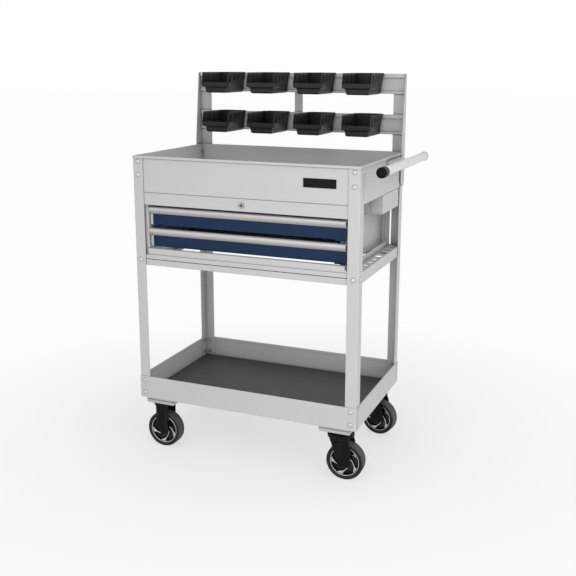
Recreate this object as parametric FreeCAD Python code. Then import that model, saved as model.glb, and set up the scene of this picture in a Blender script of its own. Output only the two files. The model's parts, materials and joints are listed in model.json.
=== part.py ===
import FreeCAD, Part
import math
import os

Vector = FreeCAD.Vector

# Sheet metal
sheet_wall = 1.5
post_wall = 2.0
fold_radius = 1.5
post_fold = 2.0
pan_corner = 3.5
overlap = 1.0

# Fits and gaps
seat_gap = 0.2
running_gap = 0.3
shaft_gap = 0.05

# Frame plan
frame_length = 780.0
frame_depth = 480.0
post_width = 37.0

# Levels
caster_height = 165.0
channel_height = 27.5
shelf_height = 78.0
mid_frame_bottom = 664.0
mid_frame_height = 37.0
box_height = 207.0
tray_height = 119.4
rack_rise = 262.6

# Tray and rim
rim_drop = 7.4
rim_chamfer = 0.7
badge_inset = 182.0
badge_drop = 70.4
badge_length = 106.0
badge_height = 28.0
badge_wall = 1.0

# Shelf
mat_wall = 2.0
hem_wall = 1.3
hem_height = 9.0
hem_end_gap = 1.0

# Drawer box
box_left_inset = 46.0
bay_width = 38.5
wall_to_bay = 32.5
panel_margin = 4.0
jamb_width = 24.0
jamb_inset = 10.0
jamb_depth = 13.0
flange_inset = 40.0
flange_end_gap = 4.0
rear_flange = 12.0
lock_rail_height = 40.0
lock_rail_top_return = 30.0
lock_rail_low_return = 15.0
box_rail_height = 21.0
box_rail_return = 15.0
box_rail_overlap = 15.0
mid_return = 26.0
wall_return_gap = 1.0

# Drawers
drawer_count = 2
drawer_floor_gap = 30.0
drawer_top_gap = 3.5
face_gap = 11.5
face_inset = 19.0
face_end_gap = 4.0
face_flange = 4.0
face_top_return = 15.5
body_rise = 5.0
body_drop = 6.0
body_rear_gap = 56.0
pull_drop = 1.0
pull_height = 26.0
pull_depth = 10.0
pull_end_gap = 1.0
pull_wall = 2.0
pull_leg = 13.0
pull_nose = 6.0
pull_curl = 3.0
pull_curl_rise = 9.0
slide_inset = 24.0
slide_height = 35.0
slide_width = 12.5
slide_wall = 1.2
slide_fold = 0.8
slide_lip = 9.0
slide_rise = 8.0

# Lock
lock_drop = 21.0
lock_radius = 9.0
lock_neck = 8.0
lock_reach = 3.0
plug_radius = 5.5
key_slot = 1.6
cam_gap = 0.5
cam_wall = 2.5
cam_reach = 27.0
cam_width = 11.0

# Side bay
holder_drop = 1.0
holder_upstand = 20.0
holder_edge = 15.0
holder_end_gap = 2.5
hole_offset = 21.0
large_hole_radius = 12.5
large_hole_count = 4
large_hole_pitch = 52.4
large_hole_inset = 42.9
small_hole_radius = 8.0
small_hole_count = 5
small_hole_pitch = 46.7
small_hole_gap = 48.8
side_box_inset = 43.0
side_box_length = 189.0
side_box_height = 62.0

# Rack
upright_width = 45.0
upright_lower = 44.0
upright_upper = 15.0
knee_rise = 17.6
upright_reach = 113.4
tip_radius = 4.0
rail_height = 67.5
rail_pitch = 136.5
rail_depth = 8.7
rail_top_lip = 13.5
rail_low_lip = 8.5
strap_width = 30.0
spacer_radius = 7.0
bolt_radius = 3.0
bolt_head_radius = 5.5
bolt_head_height = 3.0
bolt_head_taper = 2.0
nut_height = 3.5
side_bolt_inset = 11.0
side_bolt_upper_drop = 26.4
side_bolt_lower_drop = 96.4
rear_bolt_inset = 19.0
rear_bolt_drop = 62.4

# Bins
bin_pitch = 173.3
bin_shift = 5.0
bin_count = 4
bin_top_width = 98.0
bin_low_width = 78.0
bin_top_height = 71.0
bin_depth = 137.8
bin_floor_depth = 136.0
bin_wall = 2.0
bin_rim = 2.0
bin_rim_height = 4.0
cheek_depth = 34.0
lip_rise = 36.0
lip_drop = 14.0
lip_reach = 10.0
lip_width = 101.0
lip_rake = 1.5
lip_fall = 4.0
hook_reach = 6.5
hook_drop = 2.0
hook_wall = 1.8
hook_inset = 8.0

# Handle
handle_reach = 67.0
handle_drop = 13.4
handle_radius = 14.0
handle_bore = 12.0
handle_front_reach = 17.0
handle_rear_reach = 28.0
cap_radius = 16.3
cap_length = 34.0
cap_wall = 4.0
cap_taper = 3.0
end_radius = 15.5
end_length = 14.0
end_taper = 5.0
bracket_length = 136.0
bracket_inset = 59.0
bracket_wall = 2.0
bracket_drop = 10.4
bracket_height = 44.0
bracket_foot = 12.0
bracket_fall = 14.0
bracket_heel = 4.0
bracket_toe = 2.0

# Casters
wheel_radius = 62.5
wheel_width = 41.0
rim_radius = 50.0
rim_wall = 5.0
bead_inset = 3.0
bead_rise = 4.0
tread_drop = 2.5
tread_side = 6.0
side_slope = 1.0
hub_radius = 15.0
spoke_count = 5
spoke_wall = 26.0
spoke_sweep = 52.0
spoke_root = 30.0
spoke_tip = 17.0
spoke_sink = 2.0
spoke_lead_share = 0.18
spoke_trail_share = 0.62
axle_radius = 5.0
axle_head_radius = 8.0
axle_head = 4.0
fork_gap = 27.5
fork_wall = 3.0
fork_fold = 3.0
fork_drop = 15.0
fork_tip_radius = 14.0
leg_width = 44.0
rigid_leg_top = 47.0
fork_plate_length = 88.0
fork_plate_width = 64.0
plate_corner = 4.0
plate_wall = 3.0
caster_front_inset = 62.0
caster_rear_inset = 32.0
rigid_inset = 58.5
swivel_inset = 69.0
swivel_trail = 18.0
swivel_front_angle = 1.5
swivel_rear_angle = -9.0
swivel_shoulder = 31.0
swivel_knee_rise = 10.0
swivel_back_rise = 55.0
channel_width = 103.0
channel_left_inset = 59.5
channel_right_inset = 80.5
channel_front_inset = 24.5
channel_wall = 2.5
channel_fold = 4.0
channel_band = 12.0
channel_step = 1.5
race_radius = 40.0
race_low_radius = 36.0
race_height = 4.0
crown_radius = 44.0
crown_height = 12.0
crown_taper = 2.0
crown_wall = 4.0
crown_gap = 0.4
king_radius = 6.0
king_nut_radius = 10.0
king_nut = 8.0

# Frame and levels that follow
half_x = frame_length / 2
half_y = frame_depth / 2
shelf_bottom = caster_height + channel_height
shelf_floor = shelf_bottom + sheet_wall
mid_frame_top = mid_frame_bottom + mid_frame_height
tray_bottom = mid_frame_top + box_height
rim_top = tray_bottom + tray_height
post_top = rim_top - sheet_wall
rack_top = rim_top + rack_rise
pan_x = half_x - post_wall
pan_y = half_y - post_wall
pan_inner_x = pan_x - sheet_wall
pan_inner_y = pan_y - sheet_wall
rim_inner_x = half_x + seat_gap
rim_inner_y = half_y + seat_gap
rim_outer_x = rim_inner_x + sheet_wall
rim_outer_y = rim_inner_y + sheet_wall
rack_side = rim_outer_x + post_wall
rack_rear = rim_outer_y + post_wall

# Drawer box that follows
box_left = -half_x + box_left_inset
bay_left = pan_inner_x - bay_width
box_right = bay_left - wall_to_bay
flange_end = bay_left - flange_end_gap
jamb_front = -half_y + jamb_inset
opening_height = box_height - lock_rail_height - drawer_floor_gap - drawer_top_gap
face_height = (opening_height - (drawer_count - 1) * face_gap) / drawer_count
drawer_pitch = face_height + face_gap
drawer_bottom = mid_frame_top + drawer_floor_gap
face_front = -half_y + face_inset
face_rear = face_front + sheet_wall
drawer_left = box_left + slide_width
drawer_right = box_right - slide_width
body_depth = pan_inner_y - body_rear_gap - face_rear
body_height = face_height - body_rise - body_drop
slide_front = -half_y + slide_inset
lock_height = tray_bottom - lock_drop
lock_front = -pan_y - lock_reach
cam_front = face_front + face_top_return + cam_gap
holder_floor = mid_frame_top - holder_drop

# Rack, bins, handle and casters that follow
knee_level = rim_top + knee_rise
upright_end = rim_top - upright_reach
bin_back = rim_outer_y - rail_depth - seat_gap
handle_line = half_x + handle_reach
handle_level = rim_top - handle_drop
handle_front = -half_y - handle_front_reach
handle_rear = half_y + handle_rear_reach
bracket_rear = half_y - bracket_inset
bracket_top = rim_top - bracket_drop
rim_width = wheel_width - 2 * bead_inset
hub_width = 2 * (fork_gap - running_gap)
fork_half = fork_gap + fork_wall
caster_lines = (-half_y + caster_front_inset, half_y - caster_rear_inset)
rigid_line = -half_x + rigid_inset
swivel_line = half_x - swivel_inset


# Drawing helpers
def on_xy(level):
    return lambda a, b: Vector(a, b, level)


def on_xz(depth):
    return lambda a, b: Vector(a, depth, b)


def on_yz(line):
    return lambda a, b: Vector(line, a, b)


def rounded(points, radii, place):
    """Closed face from corner points, each corner rounded by its radius."""
    count = len(points)
    corners = []
    for i in range(count):
        corner = Vector(points[i][0], points[i][1], 0)
        back = Vector(points[i - 1][0], points[i - 1][1], 0) - corner
        ahead = Vector(points[(i + 1) % count][0], points[(i + 1) % count][1], 0) - corner
        back.normalize()
        ahead.normalize()
        radius = radii[i]
        if radius <= 0:
            corners.append((corner, corner, corner))
            continue
        half = back.getAngle(ahead) / 2
        cut = radius / math.tan(half)
        axis = back + ahead
        axis.normalize()
        middle = corner + axis * (radius / math.sin(half) - radius)
        corners.append((corner + back * cut, middle, corner + ahead * cut))
    edges = []
    for i in range(count):
        first, middle, last = [place(p.x, p.y) for p in corners[i]]
        if (first - last).Length > 1e-6:
            edges.append(Part.Arc(first, middle, last).toShape())
        following = corners[(i + 1) % count][0]
        start = place(following.x, following.y)
        if (start - last).Length > 1e-6:
            edges.append(Part.makeLine(last, start))
    return Part.Face(Part.Wire(edges))


def slab(points, radii, place, along):
    """Solid from a rounded outline pushed along a vector."""
    if not isinstance(radii, (list, tuple)):
        radii = [radii] * len(points)
    return rounded(points, radii, place).extrude(along)


def folded(path, wall, radius, place, along):
    """Folded sheet: the path is one face, the wall lies on its left."""
    count = len(path)
    ways = []
    for i in range(count - 1):
        way = Vector(path[i + 1][0] - path[i][0], path[i + 1][1] - path[i][1], 0)
        way.normalize()
        ways.append(way)
    lefts = [Vector(-w.y, w.x, 0) for w in ways]
    offset = []
    near = []
    far = []
    for i in range(count):
        here = Vector(path[i][0], path[i][1], 0)
        if i == 0 or i == count - 1:
            side = lefts[0] if i == 0 else lefts[-1]
            offset.append(here + side * wall)
            near.append(0)
            far.append(0)
            continue
        total = lefts[i - 1] + lefts[i]
        offset.append(here + total * (wall / (1 + lefts[i - 1].dot(lefts[i]))))
        turn = ways[i - 1].x * ways[i].y - ways[i - 1].y * ways[i].x
        near.append(radius + wall if turn > 0 else radius)
        far.append(radius if turn > 0 else radius + wall)
    points = list(path) + [(p.x, p.y) for p in reversed(offset)]
    radii = near + list(reversed(far))
    return rounded(points, radii, place).extrude(along)


def box(x0, x1, y0, y1, z0, z1):
    return Part.makeBox(x1 - x0, y1 - y0, z1 - z0, Vector(x0, y0, z0))


def block(x0, x1, y0, y1, z0, z1, corner):
    """Box with rounded upright edges."""
    points = [(x0, y0), (x1, y0), (x1, y1), (x0, y1)]
    return slab(points, corner, on_xy(z0), Vector(0, 0, z1 - z0))


def rod(start, end, radius):
    way = end - start
    return Part.makeCylinder(radius, way.Length, start, way)


def pan(x0, x1, y0, y1, z0, z1, wall, corner, fold):
    """Open-topped folded pan with rounded corners and a rounded floor edge."""
    outer = block(x0, x1, y0, y1, z0, z1, corner)
    low = [e for e in outer.Edges if e.BoundBox.ZMax < z0 + 0.01]
    outer = outer.makeFillet(fold, low)
    inner = block(x0 + wall, x1 - wall, y0 + wall, y1 - wall, z0 + wall, z1 + overlap, corner - wall)
    return outer.cut(inner)


def joined(shapes):
    """One solid from several that touch or overlap."""
    return shapes[0].multiFuse(shapes[1:]).removeSplitter()


def group(shapes):
    return Part.makeCompound(shapes)


def flipped(shape, axis):
    return shape.mirror(Vector(0, 0, 0), axis)


def across_x(shape):
    return flipped(shape, Vector(1, 0, 0))


def across_y(shape):
    return flipped(shape, Vector(0, 1, 0))


# Rack bolts
def rack_bolt_lines():
    """Start point and outward way of each bolt that holds the rack, on the outer faces of the posts."""
    side_y = half_y - side_bolt_inset
    rear_x = half_x - rear_bolt_inset
    lines = []
    for side in (-1, 1):
        for drop in (side_bolt_upper_drop, side_bolt_lower_drop):
            lines.append((Vector(side * half_x, side_y, rim_top - drop), Vector(side, 0, 0)))
        lines.append((Vector(side * rear_x, half_y, rim_top - rear_bolt_drop), Vector(0, 1, 0)))
    return lines


def drilled(shape):
    """Shape with a clearance hole on every rack bolt line."""
    reach = post_wall + sheet_wall + overlap
    depth = reach + seat_gap + sheet_wall + post_wall + overlap
    tools = []
    for start, way in rack_bolt_lines():
        tools.append(Part.makeCylinder(bolt_radius + shaft_gap, depth, start - way * reach, way))
    return shape.cut(tools)


def rack_bolt(start, way):
    """Bolt with a tapered head, its spacer and nut, through upright, post and tray wall."""
    outer = seat_gap + sheet_wall + post_wall
    inner = post_wall + sheet_wall
    nut_seat = start - way * (inner + nut_height)
    shank = Part.makeCylinder(bolt_radius, outer + inner + nut_height, nut_seat, way)
    seat = start + way * outer
    head = Part.makeCone(bolt_head_radius, bolt_head_radius - bolt_head_taper, bolt_head_height, seat, way)
    spacer = Part.makeCylinder(spacer_radius, seat_gap + sheet_wall, start, way)
    nut = Part.makeCylinder(bolt_head_radius, nut_height, nut_seat, way)
    return joined([shank, head, spacer, nut])


def rack_bolts():
    return group([rack_bolt(start, way) for start, way in rack_bolt_lines()])


# Frame
def post(corner_x, corner_y):
    """Folded angle post standing on the shelf floor, open side inward."""
    path = [(half_x, half_y - post_width), (half_x, half_y), (half_x - post_width, half_y)]
    shape = folded(path, post_wall, post_fold, on_xy(shelf_floor), Vector(0, 0, post_top - shelf_floor))
    if corner_x < 0:
        shape = across_x(shape)
    if corner_y < 0:
        return across_y(shape)
    return drilled(shape)


def top_tray():
    """Folded floor pan, and a band of walls that folds out over the post tops and down as a rim."""
    tray = pan(-pan_x, pan_x, -pan_y, pan_y, tray_bottom, rim_top, sheet_wall, pan_corner,
               fold_radius + sheet_wall)
    low = rim_top - rim_drop
    rim = block(-rim_outer_x, rim_outer_x, -rim_outer_y, rim_outer_y, low, rim_top, pan_corner + sheet_wall)
    top = [e for e in rim.Edges if e.BoundBox.ZMin > rim_top - 0.01]
    rim = rim.makeChamfer(rim_chamfer, top)
    pocket = block(-rim_inner_x, rim_inner_x, -rim_inner_y, rim_inner_y, low - overlap, post_top, pan_corner)
    well = block(-pan_inner_x, pan_inner_x, -pan_inner_y, pan_inner_y, tray_bottom + sheet_wall,
                 rim_top + overlap, pan_corner - sheet_wall)
    shell = drilled(joined([tray, rim.cut(pocket).cut(well)]))
    fold_line = tray_bottom + fold_radius + sheet_wall
    under = box(-half_x, half_x, -half_y, half_y, tray_bottom - overlap, fold_line)
    return group([shell.cut(under), shell.common(under)])


def badge_plate():
    left = half_x - badge_inset
    right = left + badge_length
    low = rim_top - badge_drop
    high = low + badge_height
    points = [(left, low), (right, low), (right, high), (left, high)]
    return slab(points, fold_radius, on_xz(-pan_y - badge_wall), Vector(0, badge_wall, 0))


def mid_frame():
    """Frame of folded lips under the drawer box, open in the middle."""
    ring = pan(-pan_x, pan_x, -pan_y, pan_y, mid_frame_bottom, mid_frame_top, sheet_wall, pan_corner,
               fold_radius + sheet_wall)
    hole_x = pan_x - mid_return
    hole_y = pan_y - mid_return
    return ring.cut(block(-hole_x, hole_x, -hole_y, hole_y, mid_frame_bottom - overlap,
                          mid_frame_bottom + sheet_wall + overlap, pan_corner))


def bottom_shelf():
    """Shelf pan round the posts with a doubled edge between them."""
    out_x = half_x + sheet_wall
    out_y = half_y + sheet_wall
    top = shelf_bottom + shelf_height
    shelf = pan(-out_x, out_x, -out_y, out_y, shelf_bottom, top, sheet_wall, post_fold + post_wall,
                fold_radius + sheet_wall)
    hem_x = half_x - post_width - hem_end_gap
    hem_y = half_y - post_width - hem_end_gap
    hems = []
    for side in (-1, 1):
        inner = side * (half_y - hem_wall)
        outer = side * half_y
        hems.append(box(-hem_x, hem_x, min(inner, outer), max(inner, outer), top - hem_height, top))
        inner = side * (half_x - hem_wall)
        outer = side * half_x
        hems.append(box(min(inner, outer), max(inner, outer), -hem_y, hem_y, top - hem_height, top))
    shelf = joined([shelf] + hems)
    top_edges = [e for e in shelf.Edges if e.BoundBox.ZMin > top - 0.01 and e.Length > hem_y]
    return shelf.makeFillet(sheet_wall / 2, top_edges)


def shelf_mat():
    edge_x = pan_x - running_gap
    edge_y = pan_y - running_gap
    return block(-edge_x, edge_x, -edge_y, edge_y, shelf_floor, shelf_floor + mat_wall, post_fold + overlap)


# Drawer box
def cabinet_side_left():
    """Left wall with its hat-shaped front jamb and rear flange."""
    rear = pan_inner_y - sheet_wall
    path = [(box_left - jamb_width, jamb_front + jamb_depth), (box_left - jamb_width, jamb_front),
            (box_left, jamb_front), (box_left, rear), (box_left + rear_flange, rear)]
    return folded(path, sheet_wall, overlap, on_xy(mid_frame_top), Vector(0, 0, box_height))


def cabinet_side_right():
    """Right wall with a front flange behind the drawer faces and a rear flange."""
    wall_face = box_right + sheet_wall
    rear = pan_inner_y - sheet_wall
    front = -half_y + flange_inset + sheet_wall
    path = [(flange_end, front), (wall_face, front), (wall_face, rear), (wall_face + rear_flange, rear)]
    return folded(path, sheet_wall, overlap, on_xy(mid_frame_top), Vector(0, 0, box_height))


def back_panel():
    """Rear wall of the drawer box with a fold forward at top and bottom."""
    sheet = box(box_left - panel_margin, bay_left, pan_inner_y, pan_y, mid_frame_top, tray_bottom)
    fold_y = pan_inner_y - rear_flange
    path = [(fold_y, mid_frame_top), (pan_y, mid_frame_top), (pan_y, tray_bottom), (fold_y, tray_bottom)]
    left = box_left + rear_flange + wall_return_gap
    right = box_right - wall_return_gap
    return joined([sheet, folded(path, sheet_wall, overlap, on_yz(left), Vector(right - left, 0, 0))])


def lock_rail():
    """Strip under the tray front, folded back at top and bottom between the walls."""
    low = tray_bottom - lock_rail_height
    web_x = pan_x - post_fold
    web = box(-web_x, web_x, -pan_y, -pan_inner_y, low, tray_bottom)
    path = [(-pan_y + lock_rail_low_return, low), (-pan_y, low), (-pan_y, tray_bottom),
            (-pan_y + lock_rail_top_return, tray_bottom)]
    left = box_left + wall_return_gap
    right = box_right - wall_return_gap
    returns = flipped_fold(path, left, right)
    hole = rod(Vector(0, -half_y, lock_height), Vector(0, -pan_inner_y + overlap, lock_height),
               lock_neck + shaft_gap)
    return joined([web, returns]).cut(hole)


def flipped_fold(path, left, right):
    """Folded strip along X with the wall on the right of the path."""
    return folded(list(reversed(path)), sheet_wall, overlap, on_yz(left), Vector(right - left, 0, 0))


def cabinet_bottom_rail():
    """Angle behind the front lip of the mid frame, under the lower drawer."""
    top = mid_frame_top + box_rail_height
    path = [(-pan_inner_y, mid_frame_top - box_rail_overlap), (-pan_inner_y, top),
            (-pan_inner_y + box_rail_return, top)]
    return flipped_fold(path, box_left, flange_end)


# Side bay
def tool_holes():
    """Depth and radius of each hole, the large ones at the rear."""
    large_last = half_y - large_hole_inset
    large_first = large_last - (large_hole_count - 1) * large_hole_pitch
    holes = [(large_last - i * large_hole_pitch, large_hole_radius) for i in range(large_hole_count)]
    small_last = large_first - small_hole_gap
    return holes + [(small_last - i * small_hole_pitch, small_hole_radius) for i in range(small_hole_count)]


def tool_holder():
    """Perforated strip with an upstand on the left and a folded edge on the right."""
    left = bay_left - sheet_wall
    under = holder_floor - sheet_wall
    right = pan_inner_x - sheet_wall
    path = [(left, holder_floor + holder_upstand), (left, under), (right, under),
            (right, holder_floor - holder_edge)]
    half = pan_inner_y - holder_end_gap
    strip = folded(path, sheet_wall, overlap, on_xz(-half), Vector(0, 2 * half, 0))
    low = Vector(bay_left + hole_offset, 0, under - overlap)
    high = Vector(bay_left + hole_offset, 0, holder_floor + overlap)
    return strip.cut([rod(low + Vector(0, y, 0), high + Vector(0, y, 0), r) for y, r in tool_holes()])


def side_box():
    """Closed housing under the tray at the rear of the bay, in two widths."""
    left = box_right + sheet_wall
    rear = half_y - side_box_inset
    front = rear - side_box_length
    low = tray_bottom - side_box_height
    shell = pan(left, pan_x, front + sheet_wall, rear, low, tray_bottom, sheet_wall, fold_radius + sheet_wall,
                fold_radius)
    cover = box(bay_left, pan_x, front, front + sheet_wall + overlap, low, tray_bottom)
    well = block(left + sheet_wall, pan_inner_x, front + 2 * sheet_wall, rear - sheet_wall, low + sheet_wall,
                 tray_bottom + overlap, fold_radius)
    return joined([shell, cover]).cut(well)


# Lock
def lock_barrel():
    """Sleeve with a face flange; the plug turns inside."""
    centre = Vector(0, 0, lock_height)
    front = centre + Vector(0, lock_front, 0)
    flange_rear = centre + Vector(0, -pan_y, 0)
    rear = centre + Vector(0, cam_front - running_gap, 0)
    sleeve = joined([rod(front, flange_rear, lock_radius), rod(flange_rear, rear, lock_neck)])
    bore = rod(front - Vector(0, overlap, 0), rear + Vector(0, overlap, 0), plug_radius + shaft_gap)
    return sleeve.cut(bore)


def lock_plug():
    """Plug with a key slot and the cam that drops behind the upper drawer's fold."""
    front = Vector(0, lock_front, lock_height)
    rear = Vector(0, cam_front + cam_wall, lock_height)
    plug = rod(front, rear, plug_radius)
    half = key_slot / 2
    reach = plug_radius - overlap
    slot = box(-half, half, lock_front - overlap, lock_front + 2 * cam_wall, lock_height - reach,
               lock_height + reach)
    width = cam_width / 2
    cam_round = width - overlap / 10
    points = [(-width, lock_height - width), (cam_reach, lock_height - width + overlap),
              (cam_reach, lock_height + width - overlap), (-width, lock_height + width)]
    cam = slab(points, [cam_round, 2 * overlap, 2 * overlap, cam_round], on_xz(cam_front),
               Vector(0, cam_wall, 0))
    return joined([plug.cut(slot), cam])


# Drawers
def drawer_level(index):
    return drawer_bottom + index * drawer_pitch


def drawer_body(index):
    """Drawer pan with folded top edges along its sides."""
    low = drawer_level(index) + body_rise
    shell = pan(drawer_left, drawer_right, face_rear, face_rear + body_depth, low, low + body_height,
                sheet_wall, fold_radius + sheet_wall, fold_radius)
    rear = face_rear + body_depth - 2 * fold_radius
    front = face_rear + 2 * fold_radius
    top = low + body_height
    hems = []
    for side in (drawer_left + sheet_wall, drawer_right - sheet_wall - hem_wall):
        hems.append(box(side, side + hem_wall, front, rear, top - hem_height, top))
    return joined([shell] + hems)


def drawer_face(index):
    """Front panel folded back on all four edges, with a deeper fold at the top for the lock."""
    low = drawer_level(index)
    high = low + face_height
    left = box_left + face_end_gap
    right = flange_end - face_end_gap
    panel = slab([(left, low), (right, low), (right, high), (left, high)], overlap, on_xz(face_front),
                 Vector(0, sheet_wall + face_flange - overlap, 0))
    pocket = box(left + sheet_wall, right - sheet_wall, face_rear, face_rear + 2 * face_flange,
                 low + sheet_wall, high - sheet_wall)
    fold = box(drawer_left + 2 * slide_width, drawer_right - 2 * slide_width, face_front + overlap,
               face_front + face_top_return, high - sheet_wall, high)
    return joined([panel.cut(pocket), fold])


def drawer_pull(index):
    """Full-length grip: a leg on the face and a rounded nose that curls back over a finger pocket."""
    high = drawer_level(index) + face_height - pull_drop
    low = high - pull_height
    rear = face_front
    front = rear - pull_depth
    inner = front + pull_wall
    points = [(rear, high), (front + pull_nose / 2, high - overlap / 2), (front, high - pull_nose),
              (front, low + pull_curl_rise), (front + pull_curl, low), (inner + pull_curl, low + overlap / 2),
              (inner, low + pull_curl_rise), (inner, high - pull_nose - overlap),
              (rear - pull_wall, high - pull_wall - overlap), (rear - pull_wall, high - pull_leg),
              (rear, high - pull_leg)]
    radii = [overlap / 2, 4 * overlap, pull_nose, 2 * pull_nose, 0, 0, 2 * pull_nose - pull_wall,
             pull_nose - pull_wall - overlap, overlap, 0, 0]
    left = box_left + pull_end_gap
    right = flange_end - pull_end_gap
    return slab(points, radii, on_yz(left), Vector(right - left, 0, 0))


def slide_channel(wall_x, inward, low, height, lip):
    """Slide member: a channel standing on a wall, its lips pointing inward."""
    tip = wall_x + inward * lip
    path = [(tip, low), (wall_x, low), (wall_x, low + height), (tip, low + height)]
    if inward < 0:
        path = list(reversed(path))
    path = list(reversed(path))
    return folded(path, slide_wall, slide_fold, on_xz(slide_front), Vector(0, body_depth, 0))


def slides_outer():
    """Fixed slide members, one on each side of each drawer."""
    members = []
    for index in range(drawer_count):
        low = drawer_level(index) + body_rise + slide_rise
        members.append(slide_channel(box_left, 1, low, slide_height, slide_lip))
        members.append(slide_channel(box_right, -1, low, slide_height, slide_lip))
    return group(members)


def drawer_slides(index):
    """Moving slide members that run inside the fixed ones."""
    inset = slide_wall + running_gap
    low = drawer_level(index) + body_rise + slide_rise + inset
    height = slide_height - 2 * inset
    lip = slide_width - slide_wall - running_gap
    return group([slide_channel(drawer_left, -1, low, height, lip),
                  slide_channel(drawer_right, 1, low, height, lip)])


# Rack
def rack_upright(side):
    """Folded upright: a web facing front, a tapering side flange and a rounded tongue."""
    height = rack_top - upright_end
    left = rack_side - upright_width
    path = [(rack_side, rim_outer_y - upright_lower), (rack_side, rack_rear), (left, rack_rear)]
    shape = folded(path, post_wall, post_fold, on_xy(upright_end), Vector(0, 0, height))
    front = rack_rear - upright_lower
    far = rack_rear + overlap
    profile = [(far, upright_end), (front, upright_end), (front, knee_level),
               (rack_rear - upright_upper, rack_top), (far, rack_top)]
    tongue = slab(profile, [0, upright_lower / 2, upright_lower, tip_radius, 0], on_yz(left - overlap),
                  Vector(upright_width + 2 * overlap, 0, 0))
    web = slab([(left, upright_end), (rack_side, upright_end), (rack_side, rack_top), (left, rack_top)],
               [upright_lower / 2, 0, 0, 0], on_xz(0), Vector(0, rack_rear + overlap, 0))
    shape = drilled(shape.common(tongue).common(web))
    return shape if side > 0 else across_x(shape)


def rail_top_level(index):
    return rack_top - (1 - index) * rail_pitch


def rack_centre_strap():
    """Flat strap behind both rails."""
    half = strap_width / 2
    low = rail_top_level(0) - rail_height
    return box(-half, half, rim_outer_y, rack_rear, low, rack_top)


def bin_rail(index):
    """Channel with turned-in lips; the bins hang over its top."""
    top = rail_top_level(index)
    low = top - rail_height
    rear = rim_outer_y
    front = rear - rail_depth
    path = [(front, low + rail_low_lip), (front, low), (rear, low), (rear, top), (front, top),
            (front, top - rail_top_lip)]
    half = rim_outer_x - post_fold
    return folded(path, sheet_wall, overlap, on_yz(-half), Vector(2 * half, 0, 0))


# Bins
def tapered(low, high, z0, z1):
    """Solid between two level rectangles given as x half width, y front and y rear."""
    rings = []
    for (half, front, rear), z in ((low, z0), (high, z1)):
        corners = ((-half, front), (half, front), (half, rear), (-half, rear))
        rings.append([Vector(x, y, z) for x, y in corners])
    under, over = rings
    outlines = [under, over]
    for i in range(4):
        outlines.append([under[i], under[i - 1], over[i - 1], over[i]])
    faces = [Part.Face(Part.makePolygon(points + points[:1])) for points in outlines]
    solid = Part.Solid(Part.Shell(faces))
    return solid if solid.Volume > 0 else solid.reversed()


def bin_shape():
    """Tapered bin with a flared hopper lip, a rim and a hook, back at y = 0 and rail top at z = 0."""
    top = seat_gap + hook_wall
    low = top - bin_top_height
    half_top = bin_top_width / 2
    half_low = bin_low_width / 2
    wall = bin_wall
    front_low = -bin_floor_depth
    front_top = -bin_depth
    outer = tapered((half_low, front_low, 0), (half_top, front_top, 0), low, top)
    lip_top = low + lip_rise
    lip_low = lip_top - lip_drop
    lip_front = front_top - lip_reach
    half_lip = lip_width / 2
    cheek = front_top + cheek_depth
    hopper_side = [(front_top, top), (lip_front, lip_top), (lip_front + lip_rake, lip_low),
                   (front_low + wall, lip_low - lip_fall), (cheek, lip_top), (cheek, top)]
    hopper = slab(hopper_side, 0, on_yz(-half_lip), Vector(2 * half_lip, 0, 0))
    rim = box(-half_top - bin_rim, half_top + bin_rim, front_top + cheek_depth / 2, 0, top - bin_rim_height,
              top)
    well = tapered((half_low - wall, front_low + wall, -wall), (half_top - wall, front_top + wall, -wall),
                   low + wall, top + overlap / 100)
    lip_inner = lip_front + wall
    inner_side = [(front_top - wall, top + overlap), (lip_inner, lip_top + overlap), (lip_inner, lip_top),
                  (lip_inner + overlap, lip_low + wall), (front_low + 2 * wall, lip_low - lip_fall + wall),
                  (cheek - wall, lip_top), (cheek - wall, top + overlap)]
    inner_half = half_lip - wall
    mouth = slab(inner_side, 0, on_yz(-inner_half), Vector(2 * inner_half, 0, 0))
    gate_rear = front_top + 3 * wall
    gate_side = [(lip_front - overlap, lip_top), (gate_rear, lip_top), (gate_rear, top + overlap),
                 (lip_front - overlap, top + overlap)]
    gate = slab(gate_side, 0, on_yz(-inner_half), Vector(2 * inner_half, 0, 0))
    shell = joined([outer, hopper, rim]).cut([well, mouth, gate])
    reach = rail_depth + hook_reach + seat_gap + hook_wall
    hook_half = half_top - hook_inset
    under = top - hook_wall
    hook = slab([(-wall, under), (reach - hook_wall, under), (reach - hook_wall, under - hook_drop),
                 (reach, under - hook_drop), (reach, top), (-wall, top)], 0, on_yz(-hook_half),
                Vector(2 * hook_half, 0, 0))
    return joined([shell, hook])


def placed_bin(index, row):
    x = (index - (bin_count - 1) / 2) * bin_pitch + bin_shift
    return bin_shape().translate(Vector(x, bin_back, rail_top_level(row)))


# Handle
def handle_tube():
    """Tube with a closed, slightly thicker rear end."""
    start = Vector(handle_line, handle_front + cap_wall, handle_level)
    end = Vector(handle_line, handle_rear, handle_level)
    knob_start = end - Vector(0, end_length, 0)
    knob = rod(knob_start, end, end_radius)
    edge = [e for e in knob.Edges if e.BoundBox.YMin > handle_rear - 0.01]
    knob = knob.makeChamfer(end_taper, edge)
    bore = rod(start - Vector(0, overlap, 0), knob_start, handle_bore)
    return joined([rod(start, knob_start + Vector(0, overlap, 0), handle_radius), knob]).cut(bore)


def handle_cap_front():
    """Sleeve cap with a closed, tapered end, pushed over the front of the tube."""
    front = Vector(handle_line, handle_front, handle_level)
    sleeve = rod(front, front + Vector(0, cap_length, 0), cap_radius)
    edge = [e for e in sleeve.Edges if e.BoundBox.YMax < handle_front + 0.01]
    sleeve = sleeve.makeChamfer(cap_taper, edge)
    seat = rod(front + Vector(0, cap_wall, 0), front + Vector(0, cap_length + overlap, 0),
               handle_radius + shaft_gap)
    return sleeve.cut(seat)


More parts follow.
